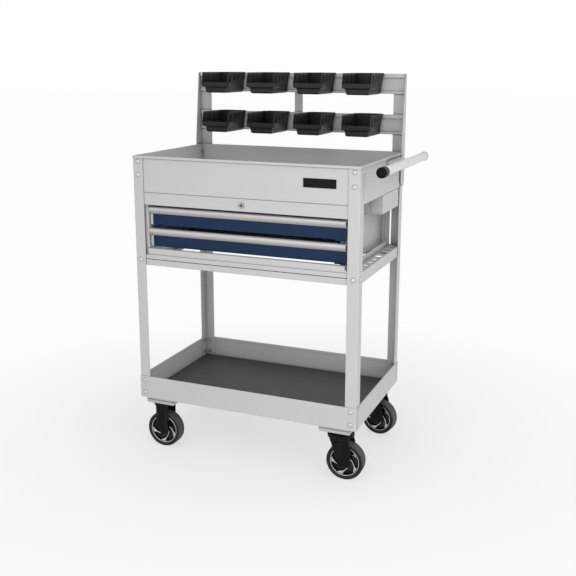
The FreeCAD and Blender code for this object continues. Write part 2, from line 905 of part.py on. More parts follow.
def handle_bracket():
    """Folded bracket: foot on the tray wall, two cheeks and a sloping top up to the tube."""
    foot_x = pan_x + bracket_wall
    front = bracket_rear - bracket_length
    low = bracket_top - bracket_height
    tip = bracket_top - bracket_fall
    under = handle_level - handle_radius - bracket_wall
    foot = box(pan_x, foot_x, front - bracket_foot, bracket_rear + bracket_foot, low, bracket_top)
    cheek_points = [(pan_x, low), (foot_x + bracket_foot, low), (handle_line, under), (handle_line, tip),
                    (pan_x, bracket_top)]
    radii = [0, bracket_heel, bracket_toe, 0, 0]
    cheeks = []
    for y in (front, bracket_rear - bracket_wall):
        cheeks.append(slab(cheek_points, radii, on_xz(y), Vector(0, bracket_wall, 0)))
    top_points = [(pan_x, bracket_top - bracket_wall), (handle_line, tip - bracket_wall), (handle_line, tip),
                  (pan_x, bracket_top)]
    top = slab(top_points, 0, on_xz(front), Vector(0, bracket_length, 0))
    tube = rod(Vector(handle_line, front - overlap, handle_level),
               Vector(handle_line, bracket_rear + overlap, handle_level), handle_radius)
    return joined([foot, top] + cheeks).cut(tube)


# Casters
def caster_channel(line):
    """Closed-end channel whose lower band stands a little proud of the upper one."""
    left = line - channel_width / 2
    right = line + channel_width / 2
    front = -half_y + channel_front_inset
    wall = channel_wall
    step = channel_step
    band_top = caster_height + channel_band
    band = pan(left - step, right + step, front - step, half_y, caster_height, band_top, wall, channel_fold,
               channel_fold - overlap)
    upper = block(left, right, front, half_y - step, band_top - wall, shelf_bottom, channel_fold)
    well = block(left + wall, right - wall, front + wall, half_y - step - wall, caster_height + wall,
                 shelf_bottom + overlap, channel_fold - wall)
    return joined([band, upper.cut(well)])


def caster_channels():
    lines = (-half_x + channel_left_inset, half_x - channel_right_inset)
    return group([caster_channel(line) for line in lines])


def wheel_tyre():
    """Tyre with a bead, sloping sides and a bevelled tread, axle along Y through the origin."""
    half = wheel_width / 2
    side = [(rim_radius, half - bead_inset), (rim_radius + bead_rise, half),
            (wheel_radius - tread_drop, half - side_slope), (wheel_radius, half - tread_side)]
    points = [Vector(r, y, 0) for r, y in side] + [Vector(r, -y, 0) for r, y in reversed(side)]
    profile = Part.Face(Part.makePolygon(points + points[:1]))
    return profile.revolve(Vector(0, 0, 0), Vector(0, 1, 0), 360)


def spoke(angle):
    """Spoke that narrows from the hub to the rim, swept clockwise as seen from the front."""
    root = hub_radius - spoke_sink
    tip = rim_radius - rim_wall / 2
    middle = (root + tip) / 2

    def at(radius, turn):
        a = math.radians(angle + turn)
        return Vector(radius * math.cos(a), -spoke_wall / 2, -radius * math.sin(a))

    lead = [at(root, -spoke_root), at(middle, spoke_sweep * spoke_lead_share),
            at(tip, spoke_sweep - spoke_tip / 2)]
    trail = [at(tip, spoke_sweep + spoke_tip / 2), at(middle, spoke_sweep * spoke_trail_share),
             at(root, spoke_root)]
    edges = [Part.Arc(*lead).toShape(), Part.makeLine(lead[2], trail[0]), Part.Arc(*trail).toShape(),
             Part.makeLine(trail[2], lead[0])]
    return Part.Face(Part.Wire(edges)).extrude(Vector(0, spoke_wall, 0))


def wheel_hub():
    """Hub, swept spokes and rim in one casting, bored for the axle."""
    def ring(radius, width):
        return rod(Vector(0, -width / 2, 0), Vector(0, width / 2, 0), radius)

    rim = ring(rim_radius, rim_width).cut(ring(rim_radius - rim_wall, rim_width + overlap))
    spokes = [spoke(i * 360 / spoke_count) for i in range(spoke_count)]
    bore = ring(axle_radius + shaft_gap, hub_width + overlap)
    return joined([ring(hub_radius, hub_width), rim] + spokes).cut(bore)


def axle():
    """Axle bolt through both fork legs with a head on each side."""
    shapes = [rod(Vector(0, -fork_half, 0), Vector(0, fork_half, 0), axle_radius)]
    for side in (-1, 1):
        seat = Vector(0, side * fork_half, 0)
        shapes.append(rod(seat, seat + Vector(0, side * axle_head, 0), axle_head_radius))
    return joined(shapes)


def fork_bore():
    reach = Vector(0, fork_half + overlap, 0)
    return rod(-reach, reach, axle_radius + shaft_gap)


def mounting_plate(top):
    half_length = fork_plate_length / 2
    half_width = fork_plate_width / 2
    return block(-half_length, half_length, -half_width, half_width, top - plate_wall, top, plate_corner)


def rigid_fork():
    """Bent fork under a mounting plate, axle through the origin."""
    top = caster_height - wheel_radius
    under = top - plate_wall
    tip = leg_width / 2
    wide = rigid_leg_top / 2
    path = [(fork_half, -fork_drop), (fork_half, under), (-fork_half, under), (-fork_half, -fork_drop)]
    bent = folded(path, fork_wall, fork_fold, on_yz(-wide), Vector(2 * wide, 0, 0))
    side = [(-tip, -fork_drop), (tip, -fork_drop), (wide, under), (-wide, under)]
    shape = slab(side, [fork_tip_radius, fork_tip_radius, 0, 0], on_xz(-fork_half),
                 Vector(0, 2 * fork_half, 0))
    return joined([bent.common(shape), mounting_plate(top)]).cut(fork_bore())


def swivel_fork():
    """Swivelling fork: a cupped crown over two raked legs, swivel axis at the origin, trail along X."""
    top = caster_height - plate_wall - race_height - crown_gap
    disc_low = top - crown_wall
    cup_low = top - crown_height
    cup = rod(Vector(0, 0, cup_low), Vector(0, 0, top), crown_radius)
    cup = cup.makeChamfer(crown_taper, [e for e in cup.Edges if e.BoundBox.ZMin > top - 0.01])
    hollow = rod(Vector(0, 0, cup_low - overlap), Vector(0, 0, disc_low), crown_radius - fork_wall)
    pin_hole = rod(Vector(0, 0, disc_low - overlap), Vector(0, 0, top + overlap), king_radius + shaft_gap)
    cup = cup.cut([hollow, pin_hole])
    front = swivel_trail - leg_width / 2
    rear = swivel_trail + leg_width / 2
    tip = wheel_radius - fork_drop
    side = [(-swivel_shoulder, disc_low), (-swivel_shoulder, cup_low),
            (front, wheel_radius + swivel_knee_rise), (front, tip), (rear, tip),
            (rear, wheel_radius + swivel_back_rise), (swivel_shoulder, cup_low), (swivel_shoulder, disc_low)]
    radii = [0, 0, 2 * fork_tip_radius, fork_tip_radius, fork_tip_radius, fork_tip_radius, 0, 0]
    legs = []
    for y in (-fork_half, fork_gap):
        legs.append(slab(side, radii, on_xz(y), Vector(0, fork_wall, 0)))
    bore = fork_bore().translate(Vector(swivel_trail, 0, wheel_radius))
    return joined([cup] + legs).cut(bore)


def swivel_plate():
    """Mounting plate, upper race and king pin with its nut, swivel axis at the origin."""
    top = caster_height
    plate_low = top - plate_wall
    race_low = plate_low - race_height
    race = Part.makeCone(race_low_radius, race_radius, race_height, Vector(0, 0, race_low), Vector(0, 0, 1))
    nut_top = race_low - crown_gap - crown_wall - running_gap
    pin = rod(Vector(0, 0, nut_top - king_nut), Vector(0, 0, race_low), king_radius)
    nut = rod(Vector(0, 0, nut_top - king_nut), Vector(0, 0, nut_top), king_nut_radius)
    return joined([mounting_plate(top), race, pin, nut])


def turned(shape, angle, x, y):
    """Copy turned about Z through the origin, then moved to a caster position."""
    copy = shape.copy()
    copy.rotate(Vector(0, 0, 0), Vector(0, 0, 1), angle)
    copy.translate(Vector(x, y, 0))
    return copy


def rigid_places(shape):
    """Shape with its axle at the origin, set at both rigid casters."""
    low = shape.copy()
    low.translate(Vector(0, 0, wheel_radius))
    return [turned(low, 0, rigid_line, line) for line in caster_lines]


def swivel_places(shape, on_axle):
    """Shape set at both swivel casters, either about the axle or about the swivel axis."""
    low = shape.copy()
    if on_axle:
        low.translate(Vector(swivel_trail, 0, wheel_radius))
    angles = (swivel_front_angle, swivel_rear_angle)
    return [turned(low, angle, swivel_line, line) for line, angle in zip(caster_lines, angles)]


def all_parts():
    parts = {}
    for row, sy in (("front", -1), ("rear", 1)):
        for side, sx in (("left", -1), ("right", 1)):
            parts["post_" + row + "_" + side] = post(sx, sy)
    parts["top_tray"] = top_tray()
    parts["badge_plate"] = badge_plate()
    parts["lock_rail"] = lock_rail()
    parts["cabinet_side_left"] = cabinet_side_left()
    parts["cabinet_side_right"] = cabinet_side_right()
    parts["back_panel"] = back_panel()
    parts["cabinet_bottom_rail"] = cabinet_bottom_rail()
    parts["mid_frame"] = mid_frame()
    parts["tool_holder"] = tool_holder()
    parts["side_box"] = side_box()
    parts["bottom_shelf"] = bottom_shelf()
    parts["shelf_mat"] = shelf_mat()
    parts["caster_channels"] = caster_channels()
    parts["rack_upright_left"] = rack_upright(-1)
    parts["rack_upright_right"] = rack_upright(1)
    parts["rack_centre_strap"] = rack_centre_strap()
    parts["rack_bolts"] = rack_bolts()
    parts["bin_rail_lower"] = bin_rail(0)
    parts["bin_rail_upper"] = bin_rail(1)
    parts["handle_tube"] = handle_tube()
    parts["handle_cap_front"] = handle_cap_front()
    parts["handle_bracket"] = handle_bracket()
    parts["lock_barrel"] = lock_barrel()
    parts["lock_plug"] = lock_plug()
    parts["slides_outer"] = slides_outer()
    for index, name in enumerate(("lower", "upper")):
        parts["drawer_" + name + "_body"] = drawer_body(index)
        parts["drawer_" + name + "_face"] = drawer_face(index)
        parts["drawer_" + name + "_pull"] = drawer_pull(index)
        parts["drawer_" + name + "_slides"] = drawer_slides(index)
        for i in range(bin_count):
            parts["bin_" + name + "_" + str(i + 1)] = placed_bin(i, index)
    parts["rigid_forks"] = group(rigid_places(rigid_fork()))
    parts["rigid_axles"] = group(rigid_places(axle()))
    parts["swivel_plates"] = group([turned(swivel_plate(), 0, swivel_line, line) for line in caster_lines])
    tyres = rigid_places(wheel_tyre()) + swivel_places(wheel_tyre(), True)
    hubs = rigid_places(wheel_hub()) + swivel_places(wheel_hub(), True)
    corners = ("front_left", "rear_left", "front_right", "rear_right")
    for name, tyre, hub in zip(corners, tyres, hubs):
        parts["tyre_" + name] = tyre
        parts["hub_" + name] = hub
    forks = swivel_places(swivel_fork(), False)
    for name, fork, bolt in zip(("front", "rear"), forks, swivel_places(axle(), True)):
        parts["swivel_fork_" + name] = fork
        parts["swivel_axle_" + name] = bolt
    return parts


def export_all():
    """Write every part with the origin at the bottom centre of the whole."""
    parts = all_parts()
    bounds = group(list(parts.values())).optimalBoundingBox(False, False)
    shift = Vector(-bounds.Center.x, -bounds.Center.y, -bounds.ZMin)
    os.makedirs("parts", exist_ok=True)
    for name, shape in parts.items():
        shape.translate(shift)
        shape.exportStep("parts/" + name + ".step")


export_all()
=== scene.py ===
import json
import math

import bmesh
import bpy
from mathutils import Matrix, Vector


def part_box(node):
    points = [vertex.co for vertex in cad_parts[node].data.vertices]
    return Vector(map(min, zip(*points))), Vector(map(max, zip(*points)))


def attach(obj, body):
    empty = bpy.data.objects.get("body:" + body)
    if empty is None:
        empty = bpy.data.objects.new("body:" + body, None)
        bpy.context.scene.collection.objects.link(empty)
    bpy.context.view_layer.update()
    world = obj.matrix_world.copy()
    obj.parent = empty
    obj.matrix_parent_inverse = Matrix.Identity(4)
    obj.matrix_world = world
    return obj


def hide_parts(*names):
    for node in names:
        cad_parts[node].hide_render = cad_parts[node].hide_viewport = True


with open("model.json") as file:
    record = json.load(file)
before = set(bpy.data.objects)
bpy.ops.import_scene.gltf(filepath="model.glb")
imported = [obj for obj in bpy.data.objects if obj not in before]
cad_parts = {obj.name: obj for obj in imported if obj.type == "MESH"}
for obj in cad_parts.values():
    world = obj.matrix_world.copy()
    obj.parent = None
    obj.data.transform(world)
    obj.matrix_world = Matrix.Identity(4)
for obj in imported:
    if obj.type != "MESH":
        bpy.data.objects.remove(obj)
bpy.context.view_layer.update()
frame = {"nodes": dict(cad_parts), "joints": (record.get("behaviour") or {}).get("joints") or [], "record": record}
nodes = frame["nodes"]

MM = 0.001

# Places read from the CAD frame
post_low, post_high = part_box("post_front_left")
post_right_low, post_right_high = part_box("post_front_right")
post_rear_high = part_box("post_rear_left")[1]
shelf_low, shelf_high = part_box("bottom_shelf")
rig = Vector(((post_low.x + post_right_high.x) / 2, (post_low.y + post_rear_high.y) / 2, 0))
half_x = post_right_high.x - rig.x
half_y = post_rear_high.y - rig.y
flange_mid = rig.x - (post_low.x + post_high.x) / 2
flange_inset = half_x - flange_mid
shelf_skin = shelf_high.x - post_right_high.x

# Bolts, nuts and screws; the levels are heights above the floor
bolt_radius, bolt_rise = 7.0 * MM, 4.1 * MM
bolt_sink, bolt_flange = 0.3 * MM, 0.5 * MM
bolt_crown, bolt_flat = 0.94, 0.2
screw_radius, screw_rise = 3.4 * MM, 1.8 * MM
nut_radius, nut_rise, nut_cut = 6.4 * MM, 4.5 * MM, 0.4 * MM
upper_bolts = (1009 * MM, 965 * MM)
mid_bolt = 682 * MM
shelf_bolts = (255.5 * MM, 213 * MM)
post_sheet = 2 * MM

# Camera solved from the frame's corners in the photograph
camera_place = rig + Vector((1.1481, -2.6238, 1.3176))
camera_turn = 0.3804
camera_dip = 0.2198
camera_roll = 0.0042
camera_lens, camera_sensor = 53.34, 36
camera_shift = (-0.0185, -0.0563)
camera_reach = 100

# Noise values between which a tint, and a roughness, runs from one end to the other
tint_range = (0.3, 0.7)
wear_range = (0.25, 0.75)

# Cosine between the true and the rounded normal where the painted highlight on a fold starts and where it is full
fold_start, fold_full = 0.99, 0.88
fold_highlight_share = 0.7

# Painted shade between neighbours: how far it looks, the openness where it is full and the one where it ends
hollow_shade_reach = (90 * MM, 0.25, 0.85)
line_shade_reach = (7 * MM, 0.35, 0.92)
gap_shade_reach = (26 * MM, 0.06, 0.5)


# Materials
def srgb(value):
    """Linear value of a colour written on the 0-255 scale."""
    c = value / 255
    return c / 12.92 if c <= 0.04045 else ((c + 0.055) / 1.055) ** 2.4


def tone(*rgb):
    """Colour for a socket from three values on the 0-255 scale."""
    return tuple(srgb(v) for v in rgb) + (1.0,)


class Finish:
    """A material with its node tree, built up in a few short calls."""

    def __init__(self, name, metallic=0.0):
        self.name = name
        self.material = bpy.data.materials.new(name)
        self.material.use_nodes = True
        self.tree = self.material.node_tree
        self.shader = self.tree.nodes["Principled BSDF"]
        self.shader.inputs["Metallic"].default_value = metallic
        self.place = self.add("ShaderNodeTexCoord").outputs["Object"]
        self.rounded = None

    def add(self, kind, **values):
        node = self.tree.nodes.new(kind)
        for key, value in values.items():
            setattr(node, key, value)
        return node

    def link(self, output, socket):
        self.tree.links.new(output, socket)

    def stretched(self, scale):
        """The place, stretched by a vector, for grain that runs one way."""
        node = self.add("ShaderNodeMapping")
        self.link(self.place, node.inputs["Vector"])
        node.inputs["Scale"].default_value = scale
        return node.outputs["Vector"]

    def noise(self, scale, detail, rough=0.5, place=None):
        node = self.add("ShaderNodeTexNoise")
        self.link(place or self.place, node.inputs["Vector"])
        node.inputs["Scale"].default_value = scale
        node.inputs["Detail"].default_value = detail
        node.inputs["Roughness"].default_value = rough
        return node.outputs["Fac"]

    def spread(self, value, low, high, out_low=0.0, out_high=1.0):
        """The value, mapped from one range to another and clamped."""
        node = self.add("ShaderNodeMapRange")
        self.link(value, node.inputs["Value"])
        limits = {"From Min": low, "From Max": high, "To Min": out_low, "To Max": out_high}
        for key, number in limits.items():
            node.inputs[key].default_value = number
        return node.outputs["Result"]

    def mix(self, value, first, second):
        """The first colour at 0 and the second at 1."""
        node = self.add("ShaderNodeMix", data_type="RGBA")
        self.link(value, node.inputs[0])
        for socket, colour in ((node.inputs[6], first), (node.inputs[7], second)):
            if isinstance(colour, tuple):
                socket.default_value = colour
            else:
                self.link(colour, socket)
        return node.outputs[2]

    def tinted(self, value, dark, light):
        """Colour that drifts between two tones with a noise value."""
        return self.mix(self.spread(value, *tint_range), dark, light)

    def colour(self, value):
        if isinstance(value, tuple):
            self.shader.inputs["Base Color"].default_value = value
        else:
            self.link(value, self.shader.inputs["Base Color"])

    def roughness(self, value):
        if isinstance(value, float):
            self.shader.inputs["Roughness"].default_value = value
        else:
            self.link(value, self.shader.inputs["Roughness"])

    def specular(self, level):
        self.shader.inputs["Specular IOR Level"].default_value = level

    def turned(self, axis):
        """How far the surface faces along one axis of its object."""
        split = self.add("ShaderNodeSeparateXYZ")
        self.link(self.place.node.outputs["Normal"], split.inputs["Vector"])
        return split.outputs[axis]

    def nearness(self, distance, low, high):
        """Openness for painted shade: 0 deep in gaps and corners, 1 in the open."""
        node = self.add("ShaderNodeAmbientOcclusion", samples=4)
        node.inputs["Distance"].default_value = distance
        return self.spread(node.outputs["AO"], low, high)

    def painted_shade_over(self, share, deep):
        """Painted shade: another colour over the one so far, where the share falls to 0."""
        self.colour(self.mix(share, deep, self.shader.inputs["Base Color"].links[0].from_socket))

    def shade(self, distance, low, high, deep):
        """Painted shade: darker in gaps and hollows, where shade falls."""
        self.painted_shade_over(self.nearness(distance, low, high), deep)

    def shade_underside(self, low, high, deep):
        """Painted shade: darker where a surface turns downwards, away from the light."""
        self.painted_shade_over(self.spread(self.turned("Z"), low, high), deep)

    def by_height(self, *stops):
        """Colour that changes with height: each stop is a height in metres and a colour."""
        split = self.add("ShaderNodeSeparateXYZ")
        self.link(self.place, split.inputs["Vector"])
        colour = stops[0][1]
        for (low, _), (high, tint) in zip(stops, stops[1:]):
            colour = self.mix(self.spread(split.outputs["Z"], low, high), colour, tint)
        return colour

    def edges(self, width):
        """How much a point sits on a sharp edge, from a normal that is rounded over the width; this mask lays the
        painted highlight on folds.
        """
        bevel = self.add("ShaderNodeBevel", samples=4)
        bevel.inputs["Radius"].default_value = width
        self.rounded = bevel.outputs["Normal"]
        geometry = self.add("ShaderNodeNewGeometry")
        dot = self.add("ShaderNodeVectorMath", operation="DOT_PRODUCT")
        self.link(self.rounded, dot.inputs[0])
        self.link(geometry.outputs["Normal"], dot.inputs[1])
        return self.spread(dot.outputs["Value"], fold_start, fold_full, 0.0, fold_highlight_share)

    def bump(self, *layers):
        """Each layer is a height, its strength and its depth in metres."""
        normal = self.rounded
        for height, strength, depth in layers:
            node = self.add("ShaderNodeBump")
            self.link(height, node.inputs["Height"])
            node.inputs["Strength"].default_value = strength
            node.inputs["Distance"].default_value = depth
            if normal:
                self.link(normal, node.inputs["Normal"])
            normal = node.outputs["Normal"]
        self.link(normal, self.shader.inputs["Normal"])


def powder_coat(name, light, dark, gloss=0.42, hollow_shade=None, line_shade=None, gap_shade=None, fold_highlight=None, width=1.6 * MM,
                specular=0.3):
    """Painted sheet: a fine orange peel, slow tone drift, painted shade in hollows, in lines between parts and in
    gaps, and painted highlights on folds.
    """
    finish = Finish(name)
    drift = finish.noise(2.2, 4.0, 0.55)
    speck = finish.noise(900.0, 2.0, 0.6)
    base = finish.tinted(drift, dark, light)
    base = finish.mix(finish.spread(speck, 0.62, 0.8, 0.0, 0.25), base, dark)
    # Painted highlight on sharp folds
    if fold_highlight:
        base = finish.mix(finish.edges(width), base, fold_highlight)
    # Painted shade in hollows, in narrow lines between parts and deep in gaps, darker the less open the spot
    if hollow_shade:
        base = finish.mix(finish.nearness(*hollow_shade_reach), finish.by_height(*hollow_shade), base)
    if line_shade:
        base = finish.mix(finish.nearness(*line_shade_reach), finish.by_height(*line_shade), base)
    if gap_shade:
        base = finish.mix(finish.nearness(*gap_shade_reach), gap_shade, base)
    finish.colour(base)
    finish.roughness(finish.spread(finish.noise(35.0, 3.0), *wear_range, gloss - 0.05, gloss + 0.07))
    finish.bump((finish.noise(650.0, 2.0), 0.25, 0.0002), (finish.noise(5.0, 2.0), 0.08, 0.002))
    finish.specular(specular)
    return finish


def brushed(name, light, dark, along, rough, metallic):
    """Metal with fine lines that run along one axis."""
    finish = Finish(name, metallic)
    scale = [260.0, 260.0, 260.0]
    scale["xyz".index(along)] = 4.0
    lines = finish.noise(6.0, 4.0, 0.7, finish.stretched(scale))
    finish.colour(finish.tinted(lines, dark, light))
    finish.roughness(finish.spread(lines, *wear_range, rough - 0.06, rough + 0.08))
    finish.bump((lines, 0.12, 0.0002))
    return finish


def moulded(name, light, dark, rough, specular=0.4):
    """Moulded plastic with a fine grain and slow tone drift."""
    finish = Finish(name)
    finish.colour(finish.tinted(finish.noise(14.0, 3.0), dark, light))
    finish.roughness(finish.spread(finish.noise(60.0, 3.0), *wear_range, rough - 0.06, rough + 0.08))
    finish.bump((finish.noise(700.0, 2.0), 0.3, 0.0002))
    finish.specular(specular)
    return finish


def polished(name, light, dark, rough):
    """Plated metal with faint clouding."""
    finish = Finish(name, 1.0)
    cloud = finish.noise(120.0, 3.0)
    finish.colour(finish.tinted(cloud, dark, light))
    finish.roughness(finish.spread(cloud, *tint_range, rough, rough + 0.07))
    finish.bump((finish.noise(400.0, 2.0), 0.05, 0.0001))
    return finish


# Tones of the painted shade in the frame's hollows and lines, each from a height in metres
frame_hollow_shade = ((1.03, tone(176, 176, 177)), (1.06, tone(214, 214, 214)))
frame_line_shade = ((0.60, tone(150, 150, 151)), (0.66, tone(34, 34, 35)), (0.71, tone(34, 34, 35)),
               (0.745, tone(128, 128, 129)), (1.03, tone(128, 128, 129)), (1.06, tone(92, 92, 93)))
# Painted shade in gaps, lines and hollows, and painted highlights on folds, for the frame, drawers, handle, badge
# and fork
frame_paint = powder_coat("frame_paint", tone(206, 206, 206), tone(202, 202, 202), hollow_shade=frame_hollow_shade,
                          line_shade=frame_line_shade, gap_shade=tone(8, 8, 9), fold_highlight=tone(228, 228, 228))
drawer_paint = powder_coat("drawer_paint", tone(17, 43, 77), tone(14, 38, 70), gloss=0.55,
                           line_shade=((0, tone(10, 20, 36)),), gap_shade=tone(3, 4, 7), fold_highlight=tone(46, 72, 108),
                           width=0.9 * MM, specular=0.22)
handle_paint = powder_coat("handle_paint", tone(232, 232, 232), tone(227, 227, 227), gloss=0.45,
                           line_shade=((0, tone(130, 130, 130)),))
badge_paint = powder_coat("badge_paint", tone(10, 10, 11), tone(7, 7, 8), gloss=0.5, fold_highlight=tone(90, 90, 92),
                          width=0.8 * MM, specular=0.14)
fork_paint = powder_coat("fork_paint", tone(13, 13, 14), tone(8, 8, 9), gloss=0.5, gap_shade=tone(2, 2, 2),
                         fold_highlight=tone(96, 96, 97), width=1.4 * MM, specular=0.12)
pull_metal = brushed("pull_aluminium", tone(212, 211, 209), tone(198, 197, 195), "x", 0.42, 0.35)
zinc = brushed("zinc_steel", tone(208, 210, 220), tone(190, 192, 203), "y", 0.34, 0.65)
bin_plastic = moulded("bin_plastic", tone(38, 38, 39), tone(32, 32, 33), 0.46, specular=0.3)
hub_plastic = moulded("hub_plastic", tone(14, 14, 15), tone(9, 9, 10), 0.4)
cap_plastic = moulded("cap_plastic", tone(16, 16, 17), tone(11, 11, 12), 0.44, specular=0.1)
lock_chrome = polished("lock_chrome", tone(196, 196, 198), tone(176, 176, 179), 0.2)
# Painted shade: darker in the hollows and gaps of the bins, pulls, zinc and hubs, and darker on the pulls'
# undersides
bin_plastic.shade(60 * MM, 0.45, 0.95, tone(12, 12, 12))
bin_plastic.shade(7 * MM, 0.5, 0.95, tone(4, 4, 4))
pull_metal.shade(12 * MM, 0.1, 0.6, tone(74, 73, 71))
pull_metal.shade_underside(-0.85, 0.1, tone(156, 155, 153))
zinc.shade(40 * MM, 0.2, 0.8, tone(6, 6, 7))
hub_plastic.shade(20 * MM, 0.1, 0.9, tone(2, 2, 2))


def tyre_finish():
    """Rubber that is black on the sidewalls and greyer, with dust, on the tread."""
    finish = Finish("tyre_rubber")
    away = finish.add("ShaderNodeMath", operation="ABSOLUTE")
    finish.link(finish.turned("Y"), away.inputs[0])
    drift = finish.noise(20.0, 4.0)
    tread = finish.tinted(drift, tone(78, 78, 79), tone(98, 98, 99))
    side = finish.tinted(drift, tone(20, 20, 20), tone(28, 28, 29))
    finish.colour(finish.mix(finish.spread(away.outputs[0], 0.35, 0.75), tread, side))
    finish.roughness(finish.spread(finish.noise(60.0, 3.0), *wear_range, 0.55, 0.7))
    finish.bump((finish.noise(500.0, 2.0), 0.4, 0.0003))
    finish.specular(0.3)
    return finish


def ribbed_mat():
    """Shelf liner: fine parallel ribs along the length with a dusty sheen."""
    finish = Finish("mat_rubber")
    wave = finish.add("ShaderNodeTexWave", wave_type="BANDS", bands_direction="Y")
    finish.link(finish.place, wave.inputs["Vector"])
    wave.inputs["Scale"].default_value = 90.0
    wave.inputs["Distortion"].default_value = 0.4
    rib = wave.outputs["Fac"]
    dust = finish.noise(7.0, 5.0, 0.6)
    base = finish.mix(finish.spread(dust, 0.3, 0.75), tone(56, 56, 57), tone(74, 74, 75))
    finish.colour(finish.mix(finish.spread(rib, 0.0, 1.0, 0.0, 0.35), base, tone(50, 50, 51)))
    finish.roughness(finish.spread(dust, *tint_range, 0.5, 0.66))
    finish.bump((rib, 0.35, 0.0006), (finish.noise(600.0, 2.0), 0.3, 0.0002))
    return finish


finishes = {finish.name: finish for finish in (
    frame_paint, drawer_paint, handle_paint, badge_paint, fork_paint, pull_metal, zinc, bin_plastic,
    hub_plastic, cap_plastic, lock_chrome, tyre_finish(), ribbed_mat())}
slots = {row["node"]: row["material_slot"] for row in frame["record"]["subparts"]}
for name, node in nodes.items():
    node.data.materials.clear()
    node.data.materials.append(finishes[slots[name]].material)


# Mesh helpers
def piece(name, mesh, slot, body):
    """Links a mesh as a piece that wears a slot's finish and rides a body."""
    mesh.materials.append(finishes[slot].material)
    obj = bpy.data.objects.new(name, mesh)
    bpy.context.scene.collection.objects.link(obj)
    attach(obj, body)
    return obj


def meshed(bm, name, matrix=None):
    """Mesh from a bmesh, moved by a matrix."""
    if matrix:
        bm.transform(matrix)
    mesh = bpy.data.meshes.new(name)
    bm.to_mesh(mesh)
    bm.free()
    return mesh


def merged(meshes, name):
    """One mesh from several."""
    bm = bmesh.new()
    for mesh in meshes:
        bm.from_mesh(mesh)
    return meshed(bm, name)


def facing(place, way):
    """Matrix that puts local Z along a way, at a place."""
    return Matrix.Translation(place) @ Vector(way).to_track_quat("Z", "Y").to_matrix().to_4x4()


def arc(turn, steps):
    """Angles from 0 to a turn in equal steps."""
    return [i * turn / steps for i in range(steps + 1)]


def upright(pairs):
    """Points in a plane across X, from (y, z) pairs."""
    return [Vector((0, y, z)) for y, z in pairs]


def lathe(profile, steps, matrix, closed=False):
    """Mesh turned about local Z from (radius, height) pairs."""
    bm = bmesh.new()
    rings = []
    for radius, height in profile:
        if radius == 0:
            rings.append([bm.verts.new((0, 0, height))])
            continue
        turn = arc(2 * math.pi, steps)[:-1]
        rings.append([bm.verts.new((radius * math.cos(a), radius * math.sin(a), height)) for a in turn])
    pairs = list(zip(rings, rings[1:])) + ([(rings[-1], rings[0])] if closed else [])
    for low, high in pairs:
        if len(low) == 1 and len(high) == 1:
            continue
        for i in range(steps):
            k = (i + 1) % steps
            if len(low) == 1:
                bm.faces.new((low[0], high[k], high[i]))
            elif len(high) == 1:
                bm.faces.new((low[i], low[k], high[0]))
            else:
                bm.faces.new((low[i], low[k], high[k], high[i]))
    bmesh.ops.recalc_face_normals(bm, faces=bm.faces)
    return meshed(bm, "lathe", matrix)


def smooth(obj, angle=35):
    """Smooth shading, with edges sharper than the angle in degrees kept."""
    for polygon in obj.data.polygons:
        polygon.use_smooth = True
    obj.data.set_sharp_from_angle(angle=math.radians(angle))
    return obj


def bolt_mesh(place, way, radius=bolt_radius, rise=bolt_rise):
    """Domed head on a thin flange, flat at its top."""
    profile = [(radius, -bolt_sink), (radius, bolt_flange)]
    for a in arc(math.pi / 2, 6)[1:-1]:
        profile.append((radius * bolt_crown * math.cos(a), bolt_flange + (rise - bolt_flange) * math.sin(a)))
    profile += [(radius * bolt_flat, rise), (0, rise)]
    return lathe(profile, 28, facing(place, way))


def nut_mesh(place, way):
    """Hexagon nut with its edges cut."""
    bm = bmesh.new()
    bmesh.ops.create_cone(bm, cap_ends=True, segments=6, radius1=nut_radius, radius2=nut_radius,
                          depth=nut_rise)
    bmesh.ops.bevel(bm, geom=bm.edges[:], offset=nut_cut, segments=1, affect="EDGES")
    return meshed(bm, "nut", facing(place, way) @ Matrix.Translation((0, 0, nut_rise / 2)))


def prism(outline, start, along):
    """Closed solid from a flat outline of points pushed along a vector."""
    bm = bmesh.new()
    near = [bm.verts.new(start + p) for p in outline]
    far = [bm.verts.new(start + p + along) for p in outline]
    bm.faces.new(near)
    bm.faces.new(list(reversed(far)))
    for i in range(len(outline)):
        k = (i + 1) % len(outline)
        bm.faces.new((near[k], near[i], far[i], far[k]))
    bmesh.ops.recalc_face_normals(bm, faces=bm.faces)
    return meshed(bm, "prism")


def soften(obj, width):
    """Rounds the edges."""
    bevel = obj.modifiers.new("soften", "BEVEL")
    bevel.width = width
    bevel.segments = 2
    bevel.limit_method = "ANGLE"
    bevel.angle_limit = math.radians(30)
    return obj


# Slide screws on the right wall, as (y from the middle, height)
screw_spots = ((121, 818), (146, 800), (152, 722), (194, 721), (-150, 818), (-150, 745))

# Lapped skins of the shelf: how far they stand out, stop short, and are cut at the corners
skin_rise, skin_gap, skin_tab, skin_inset = 1.0 * MM, 2.4 * MM, 11 * MM, 4 * MM
skin_foot, skin_head = 3 * MM, 0.8 * MM
notch_along, notch_down = 15 * MM, 17 * MM

# Front cap of the handle: sleeve, rounded rim, groove as (radius, depth) pairs, and dome
cap_bore, cap_radius, cap_hem = 14.05 * MM, 16.3 * MM, (0.3 * MM, 0.4 * MM)
cap_round, cap_shoulder = 3.2 * MM, 3.4 * MM
cap_groove = ((12.3, 0.6), (11.7, 1.9), (11.0, 2.4))
dome_radius, dome_rise = 10.6 * MM, 1.9 * MM
cap_floor = 5 * MM


